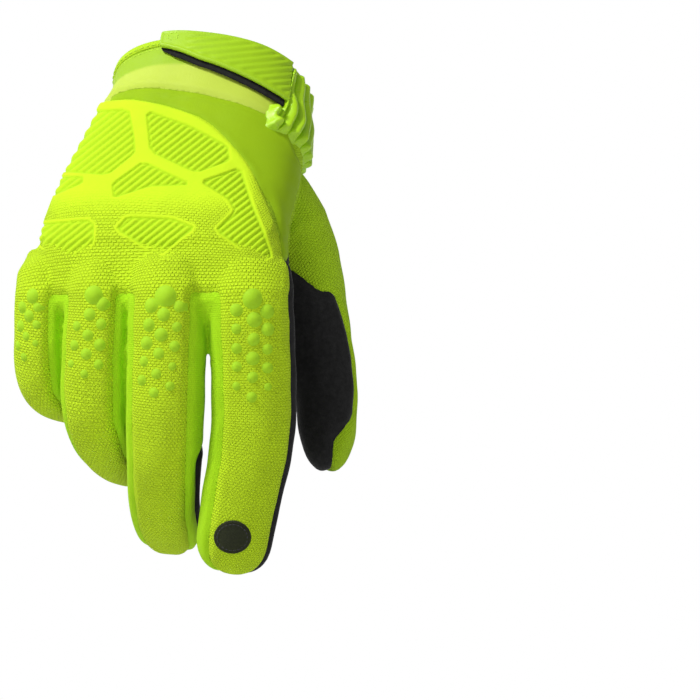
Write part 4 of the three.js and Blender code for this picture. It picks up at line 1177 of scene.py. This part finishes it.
STRAP_SECTIONS = np.array((  # angle from the back towards the thumb, low and high edge from the opening
    (-27, -2.5, 5.5), (-18, -2.5, 7.5), (-4, -2, 11.5), (12, -1.5, 15), (28, -1, 17.5), (44, 0, 19),
    (48, 0.2, 19.2), (49.6, 0.3, 19.3),
))
HOOK_LIFT = 0.85
HOOK_THICK = 0.8
STRAP_LIFT = 1.9
STRAP_THICK = 1.7
STRAP_STEPS = 150
STRAP_ACROSS = 44
STRAP_RIB_PITCH = 2.35
STRAP_RIB_SLOPE = 0.1
STRAP_RIB_HEIGHT = 0.5
STRAP_RIB_MIDDLE = 0.55  # share of a rib that lies below the strap's top
STRAP_BARE = dict(edge=1.5, edge_fade=0.9, tip=9, tip_fade=4)  # no ribs this near to the edges and the tip
STRAP_RIM = dict(height=0.18, place=0.9, width=0.5)
STRAP_BEND = 0.38  # radius of the strap's bend as a share of the hand's width
TIP_SEAM = dict(distances=(3.0, 6.5), shares=(0.22, 0.62), low=-2.5, height=9, points=12)


def strap_slab(name, rows, lift, thick, material, node, relief=None):
    """A flat band round the cuff with rounded edges: rows of angle, low and high."""
    angle = np.linspace(rows[0, 0], rows[-1, 0], STRAP_STEPS)
    at = (len(rows) - 1) * np.interp(angle, rows[:, 0], np.linspace(0, 1, len(rows)))
    from_tip = np.radians(angle - angle[0]) * HAND_WIDTH * STRAP_BEND
    corner = (1 - smooth_step(from_tip))**2 * 0.8
    low, high = spline(rows[:, 1], at) + corner, spline(rows[:, 2], at) - corner
    share = 0.5 - 0.5 * np.cos(np.linspace(0, np.pi, STRAP_ACROSS))
    edge = np.minimum(np.minimum(share, 1 - share) * (high - low)[:, None], from_tip[:, None] + 0.25)
    dome = np.sqrt(np.clip(1 - (1 - np.clip(edge / (thick * 0.45), 0, 1)) ** 2, 0, 1))
    place = low[:, None] + (high - low)[:, None] * share
    turn = np.broadcast_to(angle[:, None], place.shape)
    middle = lift + thick / 2
    top = middle + thick / 2 * dome
    surface = HAND.point(turn, place, top)
    if relief is not None:
        surface = HAND.point(turn, place, top + relief(surface, edge, from_tip[:, None]))
    under = HAND.point(turn, place, middle - thick / 2 * dome)[:, ::-1]
    loop = np.concatenate([surface, under], axis=1)
    piece(name, loop.reshape(-1, 3), capped_faces(STRAP_STEPS, 2 * STRAP_ACROSS), material, (node,))


def strap_relief(surface, edge, from_tip):
    seen = seen_at(surface)
    rise = seen[..., 1] - STRAP_RIB_SLOPE * seen[..., 0]
    inside = smooth_step((edge - STRAP_BARE["edge"]) / STRAP_BARE["edge_fade"])
    inside = inside * smooth_step((from_tip - STRAP_BARE["tip"]) / STRAP_BARE["tip_fade"])
    rim = STRAP_RIM["height"] * ridge(edge, STRAP_RIM["place"], STRAP_RIM["width"])
    return STRAP_RIB_HEIGHT * inside * (ribs(rise / STRAP_RIB_PITCH, 0.8) - STRAP_RIB_MIDDLE) + rim


def strap_tip_line(distance, share):
    """A line on the strap's top, by the distance from its tip and the share of the tip's height."""
    distance, share = np.broadcast_arrays(distance, share)
    angle = STRAP_SECTIONS[0, 0] + np.degrees(distance / (HAND_WIDTH * STRAP_BEND))
    place = TIP_SEAM["low"] + TIP_SEAM["height"] * share
    points = HAND.point(angle, place, STRAP_LIFT + STRAP_THICK)
    return points, unit(points - HAND.at(place)[0])


def make_strap():
    strap_slab("strap_top", STRAP_SECTIONS, STRAP_LIFT, STRAP_THICK, "strap", "strap",
               strap_relief)
    hook = STRAP_SECTIONS[:-1] + np.array([0, 1.0, 1.9])
    hook[0, 2] -= 1.3
    strap_slab("strap_hook_layer", hook, HOOK_LIFT, HOOK_THICK, "hook", "strap_hook")
    along, across = (np.linspace(*TIP_SEAM[key], TIP_SEAM["points"]) for key in ("distances", "shares"))
    lines = [strap_tip_line(distance, across) for distance in TIP_SEAM["distances"]]
    lines += [strap_tip_line(along, share) for share in TIP_SEAM["shares"]]
    stitches("strap_tip_stitching", lines, "thread_green", pitch=1.4, length=1.0, radius=0.2)


make_strap()

GATHER = dict(start=38, end=130, low=1.5, high=32, folds=9, height=3.6)
GATHER_STEP = dict(angle=50, low=21.5)  # below the strap's end it reaches further round
GATHER_GRID = (150, 90)
GATHER_RADIUS = 40


def make_gather():
    """Elastic side of the cuff, drawn into folds that run along the wrist."""
    angle = np.linspace(GATHER["start"], GATHER["end"], GATHER_GRID[0])[:, None]
    beside = smooth_step((GATHER_STEP["angle"] + 1.5 - angle) / 3)
    low = GATHER["low"] + (GATHER_STEP["low"] - GATHER["low"]) * beside
    along = np.linspace(0, 1, GATHER_GRID[1])[None, :]
    place = low + (GATHER["high"] - low) * along
    share = (angle - GATHER["start"]) / (GATHER["end"] - GATHER["start"])
    sway = 0.02 * np.sin(along * 6 + share * 4) + 0.008 * np.sin(along * 14 + 2)
    folds = np.abs(np.sin(np.pi * (GATHER["folds"] * (share + sway)))) ** 0.7
    puckers = 0.5 + 0.5 * np.sin(2 * np.pi * (along * 2.2 + 0.5 * np.sin(share * 9)))
    crumple = 0.14 + 0.3 * smooth_step((58 - angle) / 8)
    border = smooth_step(share / 0.05) * smooth_step((1 - share) / 0.09)
    border = border * smooth_step(along / 0.08) * smooth_step((1 - along) / 0.14)
    height = border * (0.8 + GATHER["height"] * folds * (1 - crumple * puckers)) - 0.3
    turn, where = np.broadcast_arrays(angle, place)
    points = HAND.point(turn, where, height)
    faces = grid_faces(*GATHER_GRID)
    cloth = np.stack([np.radians(turn) * GATHER_RADIUS, where], axis=-1).reshape(-1, 2)[faces]
    piece("gathered_side_folds", points.reshape(-1, 3), faces, "gather", ("gathered_side",),
          cloth=cloth)


make_gather()


# Camera, floor and light
FLOOR_HEIGHT = -0.7
FLOOR_RADIUS = 30.0
FLOOR_SIDES = 96
FLOOR_FADE = (1.4, 3.2)
FLOOR_GLOW = 0.12
ROOM = (0.16, 0.16, 0.16, 1)
WALL_OF_LIGHT = (1, 1, 1, 1)
SENSOR = 36
LIGHT_TARGET = (0.0, -0.03, -0.08)
LIGHTS = (  # name, place, energy, size
    ("key", (-0.8, -0.5, 1.2), 24.0, 0.35),
    ("front", (-0.4, -1.3, 0.9), 3.0, 0.6),
    ("rim", (-0.5, 0.8, 0.6), 1.0, 0.6),
)


def make_camera():
    data = bpy.data.cameras.new("photo_view")
    data.sensor_fit = "HORIZONTAL"
    data.sensor_width = SENSOR
    data.lens = FOCAL / PICTURE * SENSOR
    data.clip_start, data.clip_end = 0.05, 50
    camera = add_object("photo_view", data)
    camera.location = Vector(EYE * MM)
    camera.rotation_euler = (np.pi / 2, 0, 0)
    bpy.context.scene.camera = camera


def make_floor():
    """Pale paper that turns as bright as the wall of light far from the glove."""
    turn = np.linspace(0, 2 * np.pi, FLOOR_SIDES, endpoint=False)
    x, y = np.cos(turn) * FLOOR_RADIUS, np.sin(turn) * FLOOR_RADIUS
    rim = np.stack([x, y, np.full(FLOOR_SIDES, FLOOR_HEIGHT)], axis=1)
    mesh = new_mesh("floor", rim / MM, [list(range(FLOOR_SIDES))])
    shader = Shader("floor_paper", 0.95, 0.05)
    shader.main.inputs["Base Color"].default_value = (0.93, 0.93, 0.93, 1)
    glow = shader.add("ShaderNodeEmission")
    mix = shader.add("ShaderNodeMixShader")
    radius = shader.add("ShaderNodeVectorMath", operation="LENGTH")
    shader.link(shader.place, radius.inputs[0])
    shader.link(shader.ramp(radius.outputs["Value"], *FLOOR_FADE, FLOOR_GLOW), mix.inputs["Fac"])
    shader.link(shader.main.outputs["BSDF"], mix.inputs[1])
    shader.link(glow.outputs["Emission"], mix.inputs[2])
    shader.link(mix.outputs["Shader"], shader.tree.nodes["Material Output"].inputs["Surface"])
    mesh.materials.append(shader.material)
    add_object("floor", mesh)


def make_light(name, place, energy, size):
    data = bpy.data.lights.new(name, "AREA")
    data.shape = "DISK"
    data.energy, data.size = energy, size
    light = add_object(name, data)
    light.location = Vector(place)
    light.rotation_euler = (Vector(LIGHT_TARGET) - Vector(place)).to_track_quat("-Z", "Y").to_euler()


def make_world():
    """A dim studio, white low down all round and behind the glove, on the +Y side."""
    world = bpy.data.worlds.new("studio")
    world.use_nodes = True
    tree = world.node_tree
    place = tree.nodes.new("ShaderNodeTexCoord")
    axes = tree.nodes.new("ShaderNodeSeparateXYZ")
    white = tree.nodes.new("ShaderNodeMath")
    white.operation = "MAXIMUM"
    tree.links.new(place.outputs["Generated"], axes.inputs[0])
    for k, (axis, start, full) in enumerate((("Y", 0.75, 0.95), ("Z", 0.26, 0.15))):
        edge = tree.nodes.new("ShaderNodeMapRange")
        edge.interpolation_type = "SMOOTHSTEP"
        edge.inputs["From Min"].default_value = start
        edge.inputs["From Max"].default_value = full
        tree.links.new(axes.outputs[axis], edge.inputs["Value"])
        tree.links.new(edge.outputs["Result"], white.inputs[k])
    mix = tree.nodes.new("ShaderNodeMix")
    mix.data_type = "RGBA"
    mix.inputs[COLOUR_A].default_value = ROOM
    mix.inputs[COLOUR_B].default_value = WALL_OF_LIGHT
    tree.links.new(white.outputs[0], mix.inputs[0])
    tree.links.new(mix.outputs[COLOUR_MIX], tree.nodes["Background"].inputs["Color"])
    bpy.context.scene.world = world
    bpy.context.scene.view_settings.view_transform = "Standard"


make_camera()
make_floor()
make_world()
for row in LIGHTS:
    make_light(*row)
